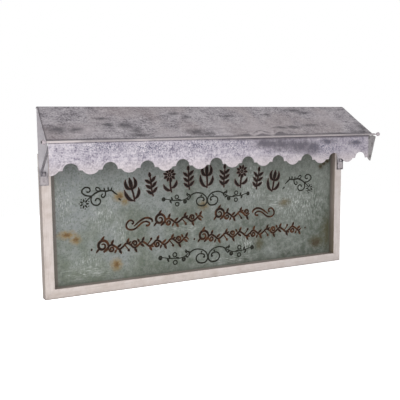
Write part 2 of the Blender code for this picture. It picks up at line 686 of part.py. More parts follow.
def add_hangers(stiles):
    zinc = finish("zinc_hanger", (0.55, 0.55, 0.56), 0.35, 1.0)
    half = HANGER_PLATE_WIDTH / 2
    bm = bmesh.new()
    slice_x(bm, hanger_section(), -half, half)
    plate_mesh = smooth(mesh_from(bm, "hanger_plate", zinc))
    ring = ring_curve(zinc)
    seat = 2 * TOUCH_GAP + HANGER_SHEET
    length = HANGER_SCREW_BITE + seat
    screw = screw_mesh("hanger_screw", HANGER_SCREW_HEAD_RADIUS, HANGER_SCREW_HEAD_HEIGHT,
                       HANGER_SCREW_RADIUS, length, zinc)
    bores = bmesh.new()
    plates = []
    for side_name, side in (("left", -1), ("right", 1)):
        axis = Matrix.Translation((side * LAND_CENTRE, RING_AXIS_Y, RING_AXIS_Z))
        plates.append(add_object(side_name + "_hanger_plate", plate_mesh, axis))
        add_object(side_name + "_hanger_ring", ring, axis)
        z = RING_AXIS_Z - HANGER_SCREW_DROP
        add_object(side_name + "_hanger_screw", screw, aimed((side * LAND_CENTRE, seat, z), (0, 1, 0)))
        rod(bores, (side * LAND_CENTRE, seat + BORE_OVERRUN, z), (0, -1, 0), length + BORE_OVERRUN + TOUCH_GAP,
            bore_radius(HANGER_SCREW_RADIUS, ROUND_STEPS))
    cutter = add_cutter("hanger_screw_bores", bores)
    for target in stiles + plates:
        boolean(target, cutter, "DIFFERENCE")


def add_bumpers():
    """Rubber feet near the lower corners, as far off the frame's back as the hangers reach."""
    height = RING_AXIS_Y + RING_CURL_OUTER - TOUCH_GAP
    profile = [(0, 0), (BUMPER_RADIUS, 0), (BUMPER_RADIUS, height / 2), (BUMPER_TOP_RADIUS, height), (0, height)]
    bm = bmesh.new()
    turned(bm, profile, ROUND_STEPS)
    bumper = smooth(mesh_from(bm, "bumper", finish("bumper_rubber", (0.05, 0.05, 0.05), 0.8, 0.0)))
    for name, side in (("left_bumper", -1), ("right_bumper", 1)):
        place = (side * LAND_CENTRE, TOUCH_GAP, FRAME_BOTTOM + BUMPER_RISE)
        add_object(name, bumper, aimed(place, (0, 1, 0)))


for old in list(bpy.data.objects):
    bpy.data.objects.remove(old)
frame_rails, frame_stiles = add_frame()
add_v_nails(frame_rails + frame_stiles)
add_panel(frame_rails + frame_stiles)
awning_roof = add_roof()
add_valance()
add_rods()
awning_straps, awning_stays = add_brackets(awning_roof)
add_strap_screws(frame_stiles, awning_straps, awning_stays)
add_hangers(frame_stiles)
add_bumpers()
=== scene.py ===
import math

import bpy
from mathutils import Matrix, Vector


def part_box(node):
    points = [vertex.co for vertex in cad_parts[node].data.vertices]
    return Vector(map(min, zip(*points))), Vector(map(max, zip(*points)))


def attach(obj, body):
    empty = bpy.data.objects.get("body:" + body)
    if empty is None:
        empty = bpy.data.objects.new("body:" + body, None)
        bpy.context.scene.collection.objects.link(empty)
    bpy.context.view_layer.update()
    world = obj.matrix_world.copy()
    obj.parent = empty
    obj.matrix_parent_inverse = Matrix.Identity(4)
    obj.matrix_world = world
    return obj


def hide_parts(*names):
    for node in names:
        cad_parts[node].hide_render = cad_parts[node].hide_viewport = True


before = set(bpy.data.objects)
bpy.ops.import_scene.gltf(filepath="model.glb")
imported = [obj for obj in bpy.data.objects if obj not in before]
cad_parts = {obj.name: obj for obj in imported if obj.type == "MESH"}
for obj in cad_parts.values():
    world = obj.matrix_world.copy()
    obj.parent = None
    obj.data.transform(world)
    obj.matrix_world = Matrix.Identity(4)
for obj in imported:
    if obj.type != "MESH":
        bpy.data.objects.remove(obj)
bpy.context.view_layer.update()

# Wooden frame. Four mitred fir members, planed square and brushed with a thin white wash.
# The wash is rubbed through along the arrises, and the inner faces by the sheet are grimy,
# with painted shade deepening into the rebate; the outer sides carry painted shade too.
# A pair of values below runs from where a tone starts to where it is full, in metres.

OPENING_HALF = 0.4262
OPENING_MIDDLE = -0.1635
OPENING_HALF_HEIGHT = 0.1517
FRAME_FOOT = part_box("bottom_rail")[0].z
MM = 0.001
GRAIN_LENGTH = 0.070
GRAIN_WIDTH = 0.0022
WASH_PATCH = 0.030
CHIPS_PER_METRE = 190.0
ARRIS_RADIUS = 0.0022
MITRE_CLEAR = 0.001
MITRE_PASSED = 0.004
FOOT_FADE = (FRAME_FOOT + 0.022, FRAME_FOOT + 0.002)
FOOT_ARRIS = (FRAME_FOOT + 0.0036, FRAME_FOOT + 0.0018)
SHADED_OUTER_SIDE = (0.0228, 0.0236)
REVEAL_DEPTH = (-0.021, -0.005)
OLIVE_HEIGHT = (-0.17, -0.24)
RIGHT_REVEAL = 0.42


def linear(hex_colour):
    """An sRGB colour such as "#DAD1CC" as linear red, green, blue and alpha."""
    shares = [int(hex_colour[i:i + 2], 16) / 255 for i in (1, 3, 5)]
    return [s / 12.92 if s <= 0.04045 else ((s + 0.055) / 1.055) ** 2.4 for s in shares] + [1.0]


def put(tree, node, inputs):
    """Sets a node's inputs, by name or number, to values or hex colours, or links sockets or nodes."""
    for socket, value in inputs.items():
        if isinstance(value, bpy.types.Node):
            value = next(output for output in value.outputs if output.enabled)
        if isinstance(value, bpy.types.NodeSocket):
            tree.links.new(value, node.inputs[socket])
        else:
            node.inputs[socket].default_value = linear(value) if isinstance(value, str) else value


def add_node(tree, kind, inputs=(), **settings):
    """Adds a shader node with its settings, and sets or links its inputs."""
    made = tree.nodes.new("ShaderNode" + kind)
    for name, value in settings.items():
        setattr(made, name, value)
    put(tree, made, dict(inputs))
    return made


def new_material(name):
    """A material with its node tree, its shader and its Object coordinates."""
    material = bpy.data.materials.new(name)
    material.use_nodes = True
    tree = material.node_tree
    place = add_node(tree, "TexCoord").outputs["Object"]
    return material, tree, tree.nodes["Principled BSDF"], place


def dress(material, *names):
    """Gives CAD nodes a material."""
    for name in names:
        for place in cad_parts[name].material_slots:
            place.material = material


def tinted(tree, under, tone, strength, share, run=(0.0, 1.0)):
    """A tone laid over a colour, rising to its strength while a share goes through its run.

    Where the share is a list, the tone is laid only where all the shares in it are high.
    """
    if isinstance(share, list):
        share, *others = share
        for other in others:
            share = add_node(tree, "Math", {0: share, 1: other}, operation="MULTIPLY")
    amount = add_node(tree, "MapRange", {
        "Value": share, "From Min": run[0], "From Max": run[1], "To Max": strength})
    return add_node(tree, "Mix", {0: amount, 6: under, 7: tone}, data_type="RGBA")


def near_edges(tree, radius, sharp=0.85):
    """How close each point is to a sharp edge."""
    rounded = add_node(tree, "Bevel", {"Radius": radius}, samples=6)
    normal = add_node(tree, "NewGeometry").outputs["Normal"]
    turned = add_node(tree, "VectorMath", {0: rounded, 1: normal}, operation="DOT_PRODUCT")
    return add_node(tree, "MapRange", {"Value": turned, "From Min": 0.995, "From Max": sharp})


def apart(tree, first, second=0.0):
    """How far apart two measures are."""
    signed = add_node(tree, "Math", {0: first, 1: second}, operation="SUBTRACT")
    return add_node(tree, "Math", {0: signed}, operation="ABSOLUTE")


def from_opening(tree, place):
    """Each point's X, Y and Z, and its distances beside, over and outside the frame's opening."""
    parts = add_node(tree, "SeparateXYZ", {0: place}).outputs
    beside = add_node(tree, "Math", {0: apart(tree, parts["X"]), 1: OPENING_HALF}, operation="SUBTRACT")
    over = add_node(tree, "Math", {
        0: apart(tree, parts["Z"], OPENING_MIDDLE), 1: OPENING_HALF_HEIGHT}, operation="SUBTRACT")
    outside = add_node(tree, "Math", {0: beside, 1: over}, operation="MAXIMUM")
    return parts, beside, over, outside


def whitewashed_fir(name, stretch):
    """Fir under a thin limewash: matt, with streaks of wood along the grain and at the arrises."""
    material, tree, shader, place = new_material(name)
    parts, beside, over, outside = from_opening(tree, place)
    grain_space = add_node(tree, "Mapping", {"Vector": place, "Scale": stretch})
    grain = add_node(tree, "TexNoise", {
        "Vector": grain_space, "Scale": 1.0, "Detail": 5.0, "Roughness": 0.6})
    patch = add_node(tree, "TexNoise", {
        "Vector": place, "Scale": 1 / WASH_PATCH, "Detail": 4.0, "Roughness": 0.65})
    tone = tinted(tree, "#DBD0CB", "#C9BCB4", 1.0, patch, (0.42, 0.68))
    tone = tinted(tree, tone, "#A89A92", 0.55, grain, (0.50, 0.72))

    chips = add_node(tree, "TexNoise", {
        "Vector": place, "Scale": CHIPS_PER_METRE, "Detail": 3.0, "Roughness": 0.7})
    chipped = add_node(tree, "MapRange", {"Value": chips, "From Min": 0.40, "From Max": 0.60})
    off_mitre = add_node(tree, "MapRange", {
        "Value": apart(tree, beside, over), "From Min": MITRE_CLEAR, "From Max": MITRE_PASSED,
        "To Min": 0.15})
    tone = tinted(tree, tone, "#8E8177", 1.0, [near_edges(tree, ARRIS_RADIUS, 0.88), chipped, off_mitre])

    tone = tinted(tree, tone, "#A1948C", 0.36, parts["Z"], FOOT_FADE)
    tone = tinted(tree, tone, "#776D66", 0.6, parts["Z"], FOOT_ARRIS)
    tone = tinted(tree, tone, "#9F9BA1", 0.20, parts["X"], (-0.30, 0.42))
    # Painted shade on the frame's outer sides, which the lamps light less than its front.
    tone = tinted(tree, tone, "#85776F", 0.45, beside, SHADED_OUTER_SIDE)

    # Painted shade in the reveals: darker deeper into the rebate, over their own dust and, on the right,
    # olive grime.
    dust = tinted(tree, "#A29286", "#6B625A", 1.0, parts["Y"], REVEAL_DEPTH)
    olive = tinted(tree, "#75664F", "#4A412C", 1.0, parts["Y"], REVEAL_DEPTH)
    soot_and_shade = tinted(tree, dust, olive, 1.0, parts["Z"], OLIVE_HEIGHT)
    on_right = add_node(tree, "Math", {0: parts["X"], 1: RIGHT_REVEAL}, operation="GREATER_THAN")
    inner = tinted(tree, "#938880", soot_and_shade, 1.0, on_right)
    reveal = add_node(tree, "Math", {0: outside, 1: 0.0}, operation="LESS_THAN")
    tone = tinted(tree, tone, inner, 0.85, reveal)
    relief = add_node(tree, "Bump", {"Height": grain, "Strength": 0.35, "Distance": 0.0006})
    put(tree, shader, {"Base Color": tone, "Normal": relief, "Roughness": 0.78})
    return material


along_rail = (1 / GRAIN_LENGTH, 1 / GRAIN_WIDTH, 1 / GRAIN_WIDTH)
along_stile = (1 / GRAIN_WIDTH, 1 / GRAIN_WIDTH, 1 / GRAIN_LENGTH)
dress(whitewashed_fir("whitewashed_fir_rail", along_rail), "top_rail", "bottom_rail")
dress(whitewashed_fir("whitewashed_fir_stile", along_stile), "left_stile", "right_stile")

# Painted sheet. A zinc sheet brushed with grey-green paint, set into the frame from behind.
# It is scratched light in patches, rust comes through in spots, a ragged dark band runs along
# the frame, and a painted shadow of the left stile lies along its left edge.
# A row below is a spot's place across and up, and its half width and half height, in millimetres.

PANEL_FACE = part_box("sign_panel")[0].y
CLOUDS_PER_METRE = 9.0
MOTTLES_PER_METRE = 60.0
FLAKES_PER_METRE = 260.0
DARK_FRAME_BAND = (-0.001, 0.008)
DARK_BAND_WAVER = 0.010
SHADOW_BAND = (0.0155 - OPENING_HALF, 0.0125 - OPENING_HALF)
RUST_SPOTS = [
    (-386, -189, 26, 12), (-364, -203, 16, 14), (-259, -277, 18, 18), (-246, -102, 20, 15),
    (-232, -116, 12, 12), (-6, -142, 18, 16), (173, -263, 16, 20), (262, -152, 24, 14),
    (380, -277, 34, 22), (421, -254, 30, 58), (390, -52, 11, 10), (401, -45, 13, 8), (413, -38, 14, 9),
    (423, -32, 10, 10),
]
RUST_CORES = [
    (-386, -189, 16, 7), (-364, -203, 10, 9), (-259, -277, 11, 11), (-246, -102, 12, 9),
    (-6, -142, 10, 9), (374, -280, 26, 19), (390, -52, 9, 8), (401, -45, 10, 6), (413, -38, 11, 6),
]
SCRATCHED_PATCHES = [
    (-395, -110, 24, 45), (-290, -150, 30, 30), (-250, -190, 22, 26), (-340, -265, 32, 20),
    (150, -90, 40, 50), (310, -155, 75, 55), (130, -260, 30, 24),
]
CROSS_SCRATCHED = [
    (240, -150, 50, 22), (-340, -290, 60, 14), (60, -300, 80, 10), (-60, -200, 50, 10),
]


def spots(tree, place, ovals, warp, flat=(1, 0, 1)):
    """How strongly each point lies in one of a few ragged ovals, seen along one axis.

    Each oval is its middle and its half sizes, across and along the sheet, in millimetres.
    """
    ragged = add_node(tree, "TexNoise", {
        "Vector": place, "Scale": warp, "Detail": 5.0, "Roughness": 0.7})
    strongest = 0.0
    for oval in ovals:
        across, along, half_across, half_along = [length * MM for length in oval]
        from_middle = add_node(tree, "VectorMath", {
            0: place, 1: (across, along, along)}, operation="SUBTRACT")
        in_oval = add_node(tree, "VectorMath", {
            0: from_middle,
            1: (flat[0] / half_across, flat[1] / half_along, flat[2] / half_along)}, operation="MULTIPLY")
        reach = add_node(tree, "VectorMath", {0: in_oval}, operation="LENGTH")
        share = add_node(tree, "MapRange", {"Value": reach, "From Min": 1.6, "From Max": 0.1})
        strongest = add_node(tree, "Math", {0: strongest, 1: share}, operation="MAXIMUM")
    return add_node(tree, "Math", {0: strongest, 1: ragged}, operation="MULTIPLY")


# Brushed oil paint on zinc: satin, mottled and darker to the right and to the foot.
painted, tree, shader, place = new_material("brushed_paint_on_zinc")
parts, _, _, outside = from_opening(tree, place)
cloud = add_node(tree, "TexNoise", {
    "Vector": place, "Scale": CLOUDS_PER_METRE, "Detail": 4.0, "Roughness": 0.6})
rightward = add_node(tree, "Math", {0: parts["X"], 1: 1.0, 2: cloud}, operation="MULTIPLY_ADD")
far_side = add_node(tree, "MapRange", {"Value": rightward, "From Min": 0.05, "From Max": 0.72})
upper = tinted(tree, "#828787", "#6A6F68", 1.0, far_side)
lower = tinted(tree, "#70786A", "#484E44", 1.0, far_side)
downward = add_node(tree, "Math", {0: parts["Z"], 1: -1.0, 2: cloud}, operation="MULTIPLY_ADD")
tone = tinted(tree, upper, lower, 1.0, downward, (0.60, 0.80))
mottle = add_node(tree, "TexNoise", {
    "Vector": place, "Scale": MOTTLES_PER_METRE, "Detail": 7.0, "Roughness": 0.72})
mottled = add_node(tree, "MapRange", {"Value": mottle, "From Min": 0.42, "From Max": 0.66})
tone = tinted(tree, tone, "#9A9D99", 0.55, mottled)
flake = add_node(tree, "TexNoise", {
    "Vector": place, "Scale": FLAKES_PER_METRE, "Detail": 3.0, "Roughness": 0.6})
tone = tinted(tree, tone, "#4F5A50", 0.6, flake, (0.50, 0.36))

for stretch, clearest, patches, strength, bright in (
        ((460.0, 1.0, 75.0), 0.63, SCRATCHED_PATCHES, 2.2, "#C2C6C2"),
        ((40.0, 1.0, 420.0), 0.62, CROSS_SCRATCHED, 2.0, "#BCC0BB")):
    drag = add_node(tree, "Mapping", {"Vector": place, "Scale": stretch})
    drawn = add_node(tree, "TexNoise", {"Vector": drag, "Scale": 1.0, "Detail": 4.0, "Roughness": 0.65})
    scratch = add_node(tree, "MapRange", {"Value": drawn, "From Min": 0.52, "From Max": clearest})
    tone = tinted(tree, tone, bright, strength, [scratch, spots(tree, place, patches, 60.0)])

rust = tinted(tree, "#8C7340", "#433F26", 1.0, far_side)
tone = tinted(tree, tone, rust, 0.85, spots(tree, place, RUST_SPOTS, 150.0), (0.13, 0.44))
dark_rust = tinted(tree, "#65481F", "#33280F", 1.0, far_side)
tone = tinted(tree, tone, dark_rust, 1.0, spots(tree, place, RUST_CORES, 210.0), (0.24, 0.46))
# A ragged band, darker along the edge of the frame.
wavering = add_node(tree, "Math", {0: cloud, 1: DARK_BAND_WAVER, 2: outside}, operation="MULTIPLY_ADD")
tone = tinted(tree, tone, "#555B50", 1.0, wavering, DARK_FRAME_BAND)
# Painted shadow cast by the left stile along the sheet's left edge.
tone = tinted(tree, tone, "#5D534C", 0.8, parts["X"], SHADOW_BAND)

facing = add_node(tree, "SeparateXYZ", {0: add_node(tree, "NewGeometry").outputs["Normal"]}).outputs
behind = add_node(tree, "Math", {0: facing["Y"], 1: 0.5}, operation="GREATER_THAN")
bare_zinc = tinted(tree, "#8F9294", "#A9ACAE", 1.0, mottled)
tone = tinted(tree, tone, bare_zinc, 1.0, behind)
relief = add_node(tree, "Bump", {"Height": mottle, "Strength": 0.3, "Distance": 0.0005})
put(tree, shader, {"Base Color": tone, "Normal": relief, "Roughness": 0.62})
dress(painted, "sign_panel")

# Painted ornament. Scrolls, sprigs and running vines, brushed on the sheet in dark paint.
# Each stroke tapers and stands a hair proud, over a wider stroke of rust-brown size.

STROKE_FLATNESS = 0.06
EDGE_FLATNESS = 0.03
BRUSH_SPREAD = 0.35
WEAR_PER_METRE = 260.0
BLEEDS_PER_METRE = 55.0


def old_paint(name, body_hex, worn_hex, bled_hex="#453630", bled=0.0):
    """Oil paint gone dry: matt, worn through in places, and rust has bled into some of it."""
    material, tree, shader, place = new_material(name)
    wear = add_node(tree, "TexNoise", {
        "Vector": place, "Scale": WEAR_PER_METRE, "Detail": 4.0, "Roughness": 0.7})
    tone = tinted(tree, body_hex, worn_hex, 1.0, wear, (0.54, 0.70))
    bleed = add_node(tree, "TexNoise", {
        "Vector": place, "Scale": BLEEDS_PER_METRE, "Detail": 3.0, "Roughness": 0.6})
    tone = tinted(tree, tone, bled_hex, bled, bleed, (0.48, 0.60))
    relief = add_node(tree, "Bump", {"Height": wear, "Strength": 0.2, "Distance": 0.0003})
    put(tree, shader, {
        "Base Color": tone, "Normal": relief, "Roughness": 0.8, "Specular IOR Level": 0.15})
    return material


def volute(x, z, start, turns, outer, inner, steps=9):
    """Points of a scroll's curl, in millimetres, from its outside in. Turns above 0 go anticlockwise."""
    count = max(3, round(abs(turns) * steps))
    points = []
    for i in range(count + 1):
        share = i / count
        angle = math.radians(start) + math.tau * turns * share
        radius = outer + (inner - outer) * share
        points.append((x + radius * math.cos(angle), z + radius * math.sin(angle)))
    return points


def placed(strokes, x, z, turn=0.0, scale=1.0, mirrored=False):
    """The same strokes moved, turned and sized, and mirrored first if asked."""
    flip = -1 if mirrored else 1
    cosine = math.cos(math.radians(turn)) * scale
    sine = math.sin(math.radians(turn)) * scale
    moved = []
    for points, widths in strokes:
        spots_on = [(x + flip * u * cosine - v * sine, z + flip * u * sine + v * cosine) for u, v in points]
        moved.append((spots_on, [w * scale for w in widths]))
    return moved


def tapered(points, thin, thick):
    """A stroke that starts and ends thin and is thickest in its first half."""
    last = len(points) - 1
    swell = [math.sin(math.pi * (i / last) ** 0.7) for i in range(last + 1)]
    return (points, [thin + (thick - thin) * share for share in swell])


def leaf(x, z, angle, length, width):
    """A leaf made of one pressed stroke."""
    run = (math.cos(math.radians(angle)), math.sin(math.radians(angle)))
    points = [(x + run[0] * length * s, z + run[1] * length * s) for s in (0.0, 0.3, 0.65, 1.0)]
    return (points, [width * 0.15, width * 0.85, width * 0.8, width * 0.06])


def close_mesh(doubles):
    """Merges the doubles of the mesh in hand, turns its faces outward and leaves edit mode."""
    bpy.ops.mesh.select_all(action="SELECT")
    bpy.ops.mesh.remove_doubles(threshold=doubles)
    bpy.ops.mesh.normals_make_consistent(inside=False)
    bpy.ops.object.mode_set(mode="OBJECT")


def paint_strokes(name, strokes, material, widened, flatness):
    """One mesh of flat brush strokes, lying on the front of the sheet."""
    bpy.ops.object.select_all(action="DESELECT")
    bpy.ops.curve.primitive_bezier_curve_add()
    piece = bpy.context.object
    piece.name = name
    line = piece.data
    line.splines.clear()
    for points, widths in strokes:
        spline = line.splines.new("BEZIER")
        spline.bezier_points.add(len(points) - 1)
        for knot, (x, z), width in zip(spline.bezier_points, points, widths):
            knot.co = (x * MM, 0, z * MM)
            knot.handle_left_type = "AUTO"
            knot.handle_right_type = "AUTO"
            knot.radius = (width / 2 + widened) * MM
    line.resolution_u = 5
    line.bevel_depth = 1.0
    line.bevel_resolution = 2
    line.use_fill_caps = True
    bpy.ops.object.convert(target="MESH")
    piece.location = (0, 0, 0)
    bpy.ops.object.mode_set(mode="EDIT")
    bpy.ops.mesh.select_all(action="SELECT")
    bpy.ops.transform.resize(value=(1, flatness, 1), center_override=(0, 0, 0))
    bpy.ops.transform.translate(value=(0, PANEL_FACE, 0))
    close_mesh(0.000001)
    bpy.ops.object.shade_smooth()
    piece.data.materials.clear()
    piece.data.materials.append(material)
    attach(piece, "sign")
    return piece


def in_two_coats(name, strokes, body, edge, widened):
    """Dark strokes over a wider first coat that shows round them."""
    paint_strokes(name, strokes, body, BRUSH_SPREAD, STROKE_FLATNESS)
    paint_strokes(name + "_edge", strokes, edge, BRUSH_SPREAD + widened, EDGE_FLATNESS)


umber = old_paint("umber_oil_paint", "#1B1412", "#372B27")
rose_size = old_paint("rose_brown_size", "#6F544D", "#7C756F")
umber_glaze = old_paint("umber_glaze", "#1E1613", "#3A2A21", "#633F2A", 0.55)
rust_size = old_paint("rust_brown_size", "#6C4B35", "#706A59")
bottle_green = old_paint("bottle_green_paint", "#252520", "#43463C")
sage_size = old_paint("sage_size", "#4B4E44", "#666A60")

# Row of flowers. Tulips, daisies and sprigs by turns, nine in all, brushed on an arch under
# the valance in umber over rose-brown size. A daisy's petals and a sprig's leaves are single
# pressed strokes.

ARCH_MIDDLE = 5
ARCH_TOP = -64
ARCH_RADIUS = 1011
ARCH_STEP = 54.8
FLOWER_SCALE = 1.02

tulip = [
    ([(0, -31), (1, -14), (0, 4)], [3.0, 4.6, 5.0]),
    ([(0, -29), (-12, -21), (-18, -9), (-20, 6)], [1.5, 8.0, 8.5, 0.8]),
    ([(0, -25), (11, -19), (17, -9), (18, 2)], [1.5, 7.5, 8.0, 0.8]),
    ([(0, 2), (0, 12), (0, 22), (0, 32)], [4.0, 10.0, 9.5, 0.8]),
    ([(-2, 2), (-11, 8), (-13.5, 18), (-11, 30)], [4.0, 8.5, 8.0, 0.8]),
    ([(2, 2), (11, 8), (13.5, 18), (11, 30)], [4.0, 8.5, 8.0, 0.8]),
]
daisy = [
    ([(0, -31), (-1, -16), (0, 4)], [3.0, 4.4, 4.4]),
    ([(0, -25), (-9, -23), (-17, -15), (-20, -6)], [1.5, 7.0, 7.4, 0.8]),
    ([(0, -19), (9, -17), (16, -10), (19, -1)], [1.5, 7.0, 7.4, 0.8]),
    (volute(0, 15, 0, 1.0, 3.2, 3.2), [3.0] * 10),
]
for petal in range(9):
    around = math.radians(petal * 40)
    daisy.append(leaf(6 * math.cos(around), 15 + 6 * math.sin(around), petal * 40, 12.5, 7.6))
sprig = [([(0, -31), (-1.2, -10), (0.5, 10), (0, 24)], [3.2, 4.2, 3.8, 2.0]), leaf(0, 18, 90, 15, 8.6)]
for rise in (-25, -11, 3):
    sprig.append(leaf(0, rise, 140, 21, 8.8))
    sprig.append(leaf(0, rise + 3, 40, 21, 8.8))

row = []
for place_in_row in range(-4, 5):
    turn = place_in_row * ARCH_STEP / ARCH_RADIUS
    flower = sprig if place_in_row % 2 else (tulip if place_in_row % 4 == 0 else daisy)
    row += placed(flower, ARCH_MIDDLE + ARCH_RADIUS * math.sin(turn),
                  ARCH_TOP - ARCH_RADIUS * (1 - math.cos(turn)), -math.degrees(turn), FLOWER_SCALE)
in_two_coats("arched_flower_row", row, umber, rose_size, 0.6)

# Corner scrolls. A stem with two curls, a rosette below and small leaves above, brushed in
# bottle green over sage at the sheet's upper left, and mirrored at its upper right.

SCROLL_MIRROR = 5
ROSETTE = Vector((-339.5, -115))
PETALS = 7
PETAL_START = 100
BETWEEN_PETALS = 25

corner_scroll = [
    ([(-333, -107), (-320, -97), (-309.5, -90), (-296, -85.5), (-282, -87), (-268, -86), (-260, -92),
      (-252, -98)], [1.6, 3.2, 3.6, 3.8, 3.6, 3.4, 3.6, 1.6]),
    ([(-250, -107), (-243, -112.5)], [4.2, 2.4]),
    ([(-320, -97), (-330, -96), (-341, -91), (-345, -84), (-341, -77.5), (-332, -74.5), (-325, -78),
      (-324, -84), (-329, -87), (-333, -85)], [3.2, 3.0, 3.0, 3.2, 3.2, 3.0, 3.0, 2.8, 2.6, 3.8]),
    ([(-320, -97), (-322, -107), (-318.5, -116), (-311, -120.5), (-301, -118.5), (-297.5, -110),
      (-302, -104.5), (-308, -104.5), (-311, -110)], [3.2, 3.0, 3.0, 3.2, 3.2, 3.0, 3.0, 2.8, 4.0]),
    ([(-296, -85.5), (-301, -78), (-308, -77), (-307.5, -83), (-300, -85.5)], [2.2, 2.6, 2.6, 2.2, 1.8]),
    ([(-284, -87), (-285, -98), (-292, -102), (-294.5, -97), (-291, -93)], [2.6, 3.2, 3.0, 2.6, 2.2]),
    leaf(-286, -86, 100, 9, 4.0),
    leaf(-276, -85, 95, 9, 4.2),
    leaf(-268, -86, 85, 8, 4.0),
]
for petal in range(PETALS):
    outward = petal * 360 / PETALS + PETAL_START
    for angle, reach, length, width in (
            (outward, 3.6, 9.0, 4.6), (outward + BETWEEN_PETALS, 11.5, 3.2, 3.2)):
        root = ROSETTE + reach * Vector((math.cos(math.radians(angle)), math.sin(math.radians(angle))))
        corner_scroll.append(leaf(*root, angle, length, width))
scrolls = corner_scroll + placed(corner_scroll, 2 * SCROLL_MIRROR, 0, mirrored=True)
in_two_coats("corner_scrolls", scrolls, bottle_green, sage_size, 0.15)

# Paired curls. Two mirrored scrolls with sprigs of berries, brushed in bottle green over
# sage: once under the arch, and once a little larger at the sheet's foot.

RING_WIDTHS = [2.4] * 8
CURLS_MIDDLE = 5.6

curl_half = [
    ([(53, 12.5), (40, 19.5), (24, 20), (9.5, 14), (1.5, 2), (4, -11), (18, -15.5), (31.5, -8), (31, 3.5),
      (19, 8), (9.8, 2.5), (13, -3)], [3.4, 2.6, 2.8, 2.8, 3.0, 3.4, 3.6, 3.4, 2.8, 2.6, 3.4, 5.4]),
    leaf(16, 15, -50, 6.5, 4.6),
    leaf(59, 13, 75, 11, 5.6),
    leaf(64, 8, -150, 11, 5.2),
    ([(64, 17), (57, 17.5), (51.5, 13), (55, 5)], [2.4, 3.6, 5.0, 1.4]),
    ([(55, 12), (66, 6), (80, 3), (92, 4.5), (106, 5), (118, 8), (130, 10)],
     [2.2, 1.8, 1.8, 2.2, 2.0, 1.6, 1.6]),
    (volute(67.5, -0.5, 90, 1.0, 3.2, 3.2, 7), [4.6] * 8),
    leaf(78, 3, 20, 12, 3.8),
    (volute(90.5, -6, 90, 1.0, 5.0, 5.0, 7), RING_WIDTHS),
    (volute(91.5, 13, -90, 1.0, 5.0, 5.0, 7), RING_WIDTHS),
    leaf(104, 5, 68, 10, 5.6),
    leaf(112, 6, -118, 11, 5.4),
    (volute(130, 9, 180, 1.0, 3.0, 3.0, 7), [4.8] * 8),
]
upper_curls = []
lower_curls = []
for mirrored in (False, True):
    upper_curls += placed(curl_half, CURLS_MIDDLE, -127, 0, 1.0, mirrored)
    lower_curls += placed(curl_half, CURLS_MIDDLE + 1, -283, 0, 1.1, mirrored)
in_two_coats("upper_curls", upper_curls, bottle_green, sage_size, 0.15)
in_two_coats("lower_curls", lower_curls, bottle_green, sage_size, 0.15)

# Two running vines in umber over rust: a wave of stem with a curl in each hollow and a leaf
# on each crest. The upper one has an S-scroll at each end, and the lower one has dots.

VINE_HALF_WAVE = 22
VINE_SWING = 6.5
VINE_HEAD = 27


def vine(start, end, middle):
    """Strokes of a running vine between two places: curls, leaves and buds by turns."""
    halves = round((end - start - VINE_HEAD) / VINE_HALF_WAVE)
    step = (end - start - VINE_HEAD) / halves
    strokes = [tapered(volute(start + 15, middle + 6, -75, 1.6, 17.0, 3.4), 1.8, 6.2)]
    strokes.append(leaf(start + 10.5, middle + 17, 55, 17, 6.4))
    strokes.append(leaf(start + 6.5, middle + 0.5, -130, 15, 5.4))
    stem = [(start + 17, middle - 11)]
    for i in range(halves):
        side = 1 if i % 2 == 0 else -1
        joint = start + VINE_HEAD + i * step
        crest = joint + step / 2
        top = middle + side * VINE_SWING
        stem.append((joint, middle - side * 1.5))
        stem.append((crest, top))
        strokes.append(leaf(crest, top, side * 62, 15, 7.0))
        if i % 3 == 0:
            curl = volute(crest + 1, middle - side * 4.0, 175, 1.25 * side, 7.4, 1.6)
            strokes.append(tapered([(joint + 1, middle + side)] + curl, 2.2, 4.2))
        elif i % 3 == 1:
            strokes.append(leaf(crest - 5, middle + side * 2.5, -side * 38, 15, 6.6))
            strokes.append(leaf(crest - 7, top, side * 118, 11, 5.6))
        else:
            bud = (crest + 4, middle - side * 9)
            strokes.append(([(crest - 5, middle + side * 2), bud], [2.0, 2.2]))
            strokes.append(leaf(bud[0] - 1, bud[1] + side, -side * 60, 8.5, 6.8))
            strokes.append(leaf(crest + 3, top - side, side * 25, 11, 5.4))
    stem.append((end, middle))
    strokes.append((stem, [3.6] + [4.4] * (len(stem) - 2) + [1.2]))
    return strokes


s_scroll = [
    ([(-20.5, 0.8), (-15.5, 4.2), (-18.8, 9.8), (-25.5, 11), (-32.5, 5.5), (-35.5, -3), (-31, -10.5),
      (-21, -13.5), (-11, -11.5), (-3, -6), (6, 0.8), (15, 4.5), (25, 3.2), (29.5, -1.5), (25, -6),
      (18.5, -5.5)], [4.6, 3.8, 3.6, 3.6, 3.8, 4.2, 3.8, 3.6, 3.8, 3.6, 3.8, 3.8, 3.6, 4.0, 4.6, 4.4]),
    ([(-15, -5), (-7, 0.8), (1, 6.5), (11, 12), (21, 14.2), (30.5, 12), (37.2, 6.5), (36.5, 1.5)],
     [1.2, 3.4, 3.8, 4.2, 4.8, 4.8, 4.4, 1.6]),
]
dot = [([(-2.4, 0.5), (0, 0), (2.4, -0.5)], [1.4, 6.4, 1.4])]

upper_line = vine(-151, -7, -176) + vine(28, 141, -174)
upper_line += placed(s_scroll, -195, -177) + placed(s_scroll, 189, -176, mirrored=True)
in_two_coats("upper_vine", upper_line, umber_glaze, rust_size, 0.4)

lower_line = vine(-310, -51, -231) + vine(-22, 322, -231)
for x in (-324, -35, 335):
    lower_line += placed(dot, x, -232)
in_two_coats("lower_vine", lower_line, umber_glaze, rust_size, 0.45)

# Fixings of the frame. V-nails pressed across each mitre, and panel pins driven into the
# rebate to hold the sheet: bright steel wire and strip, gone dull with a little rust.

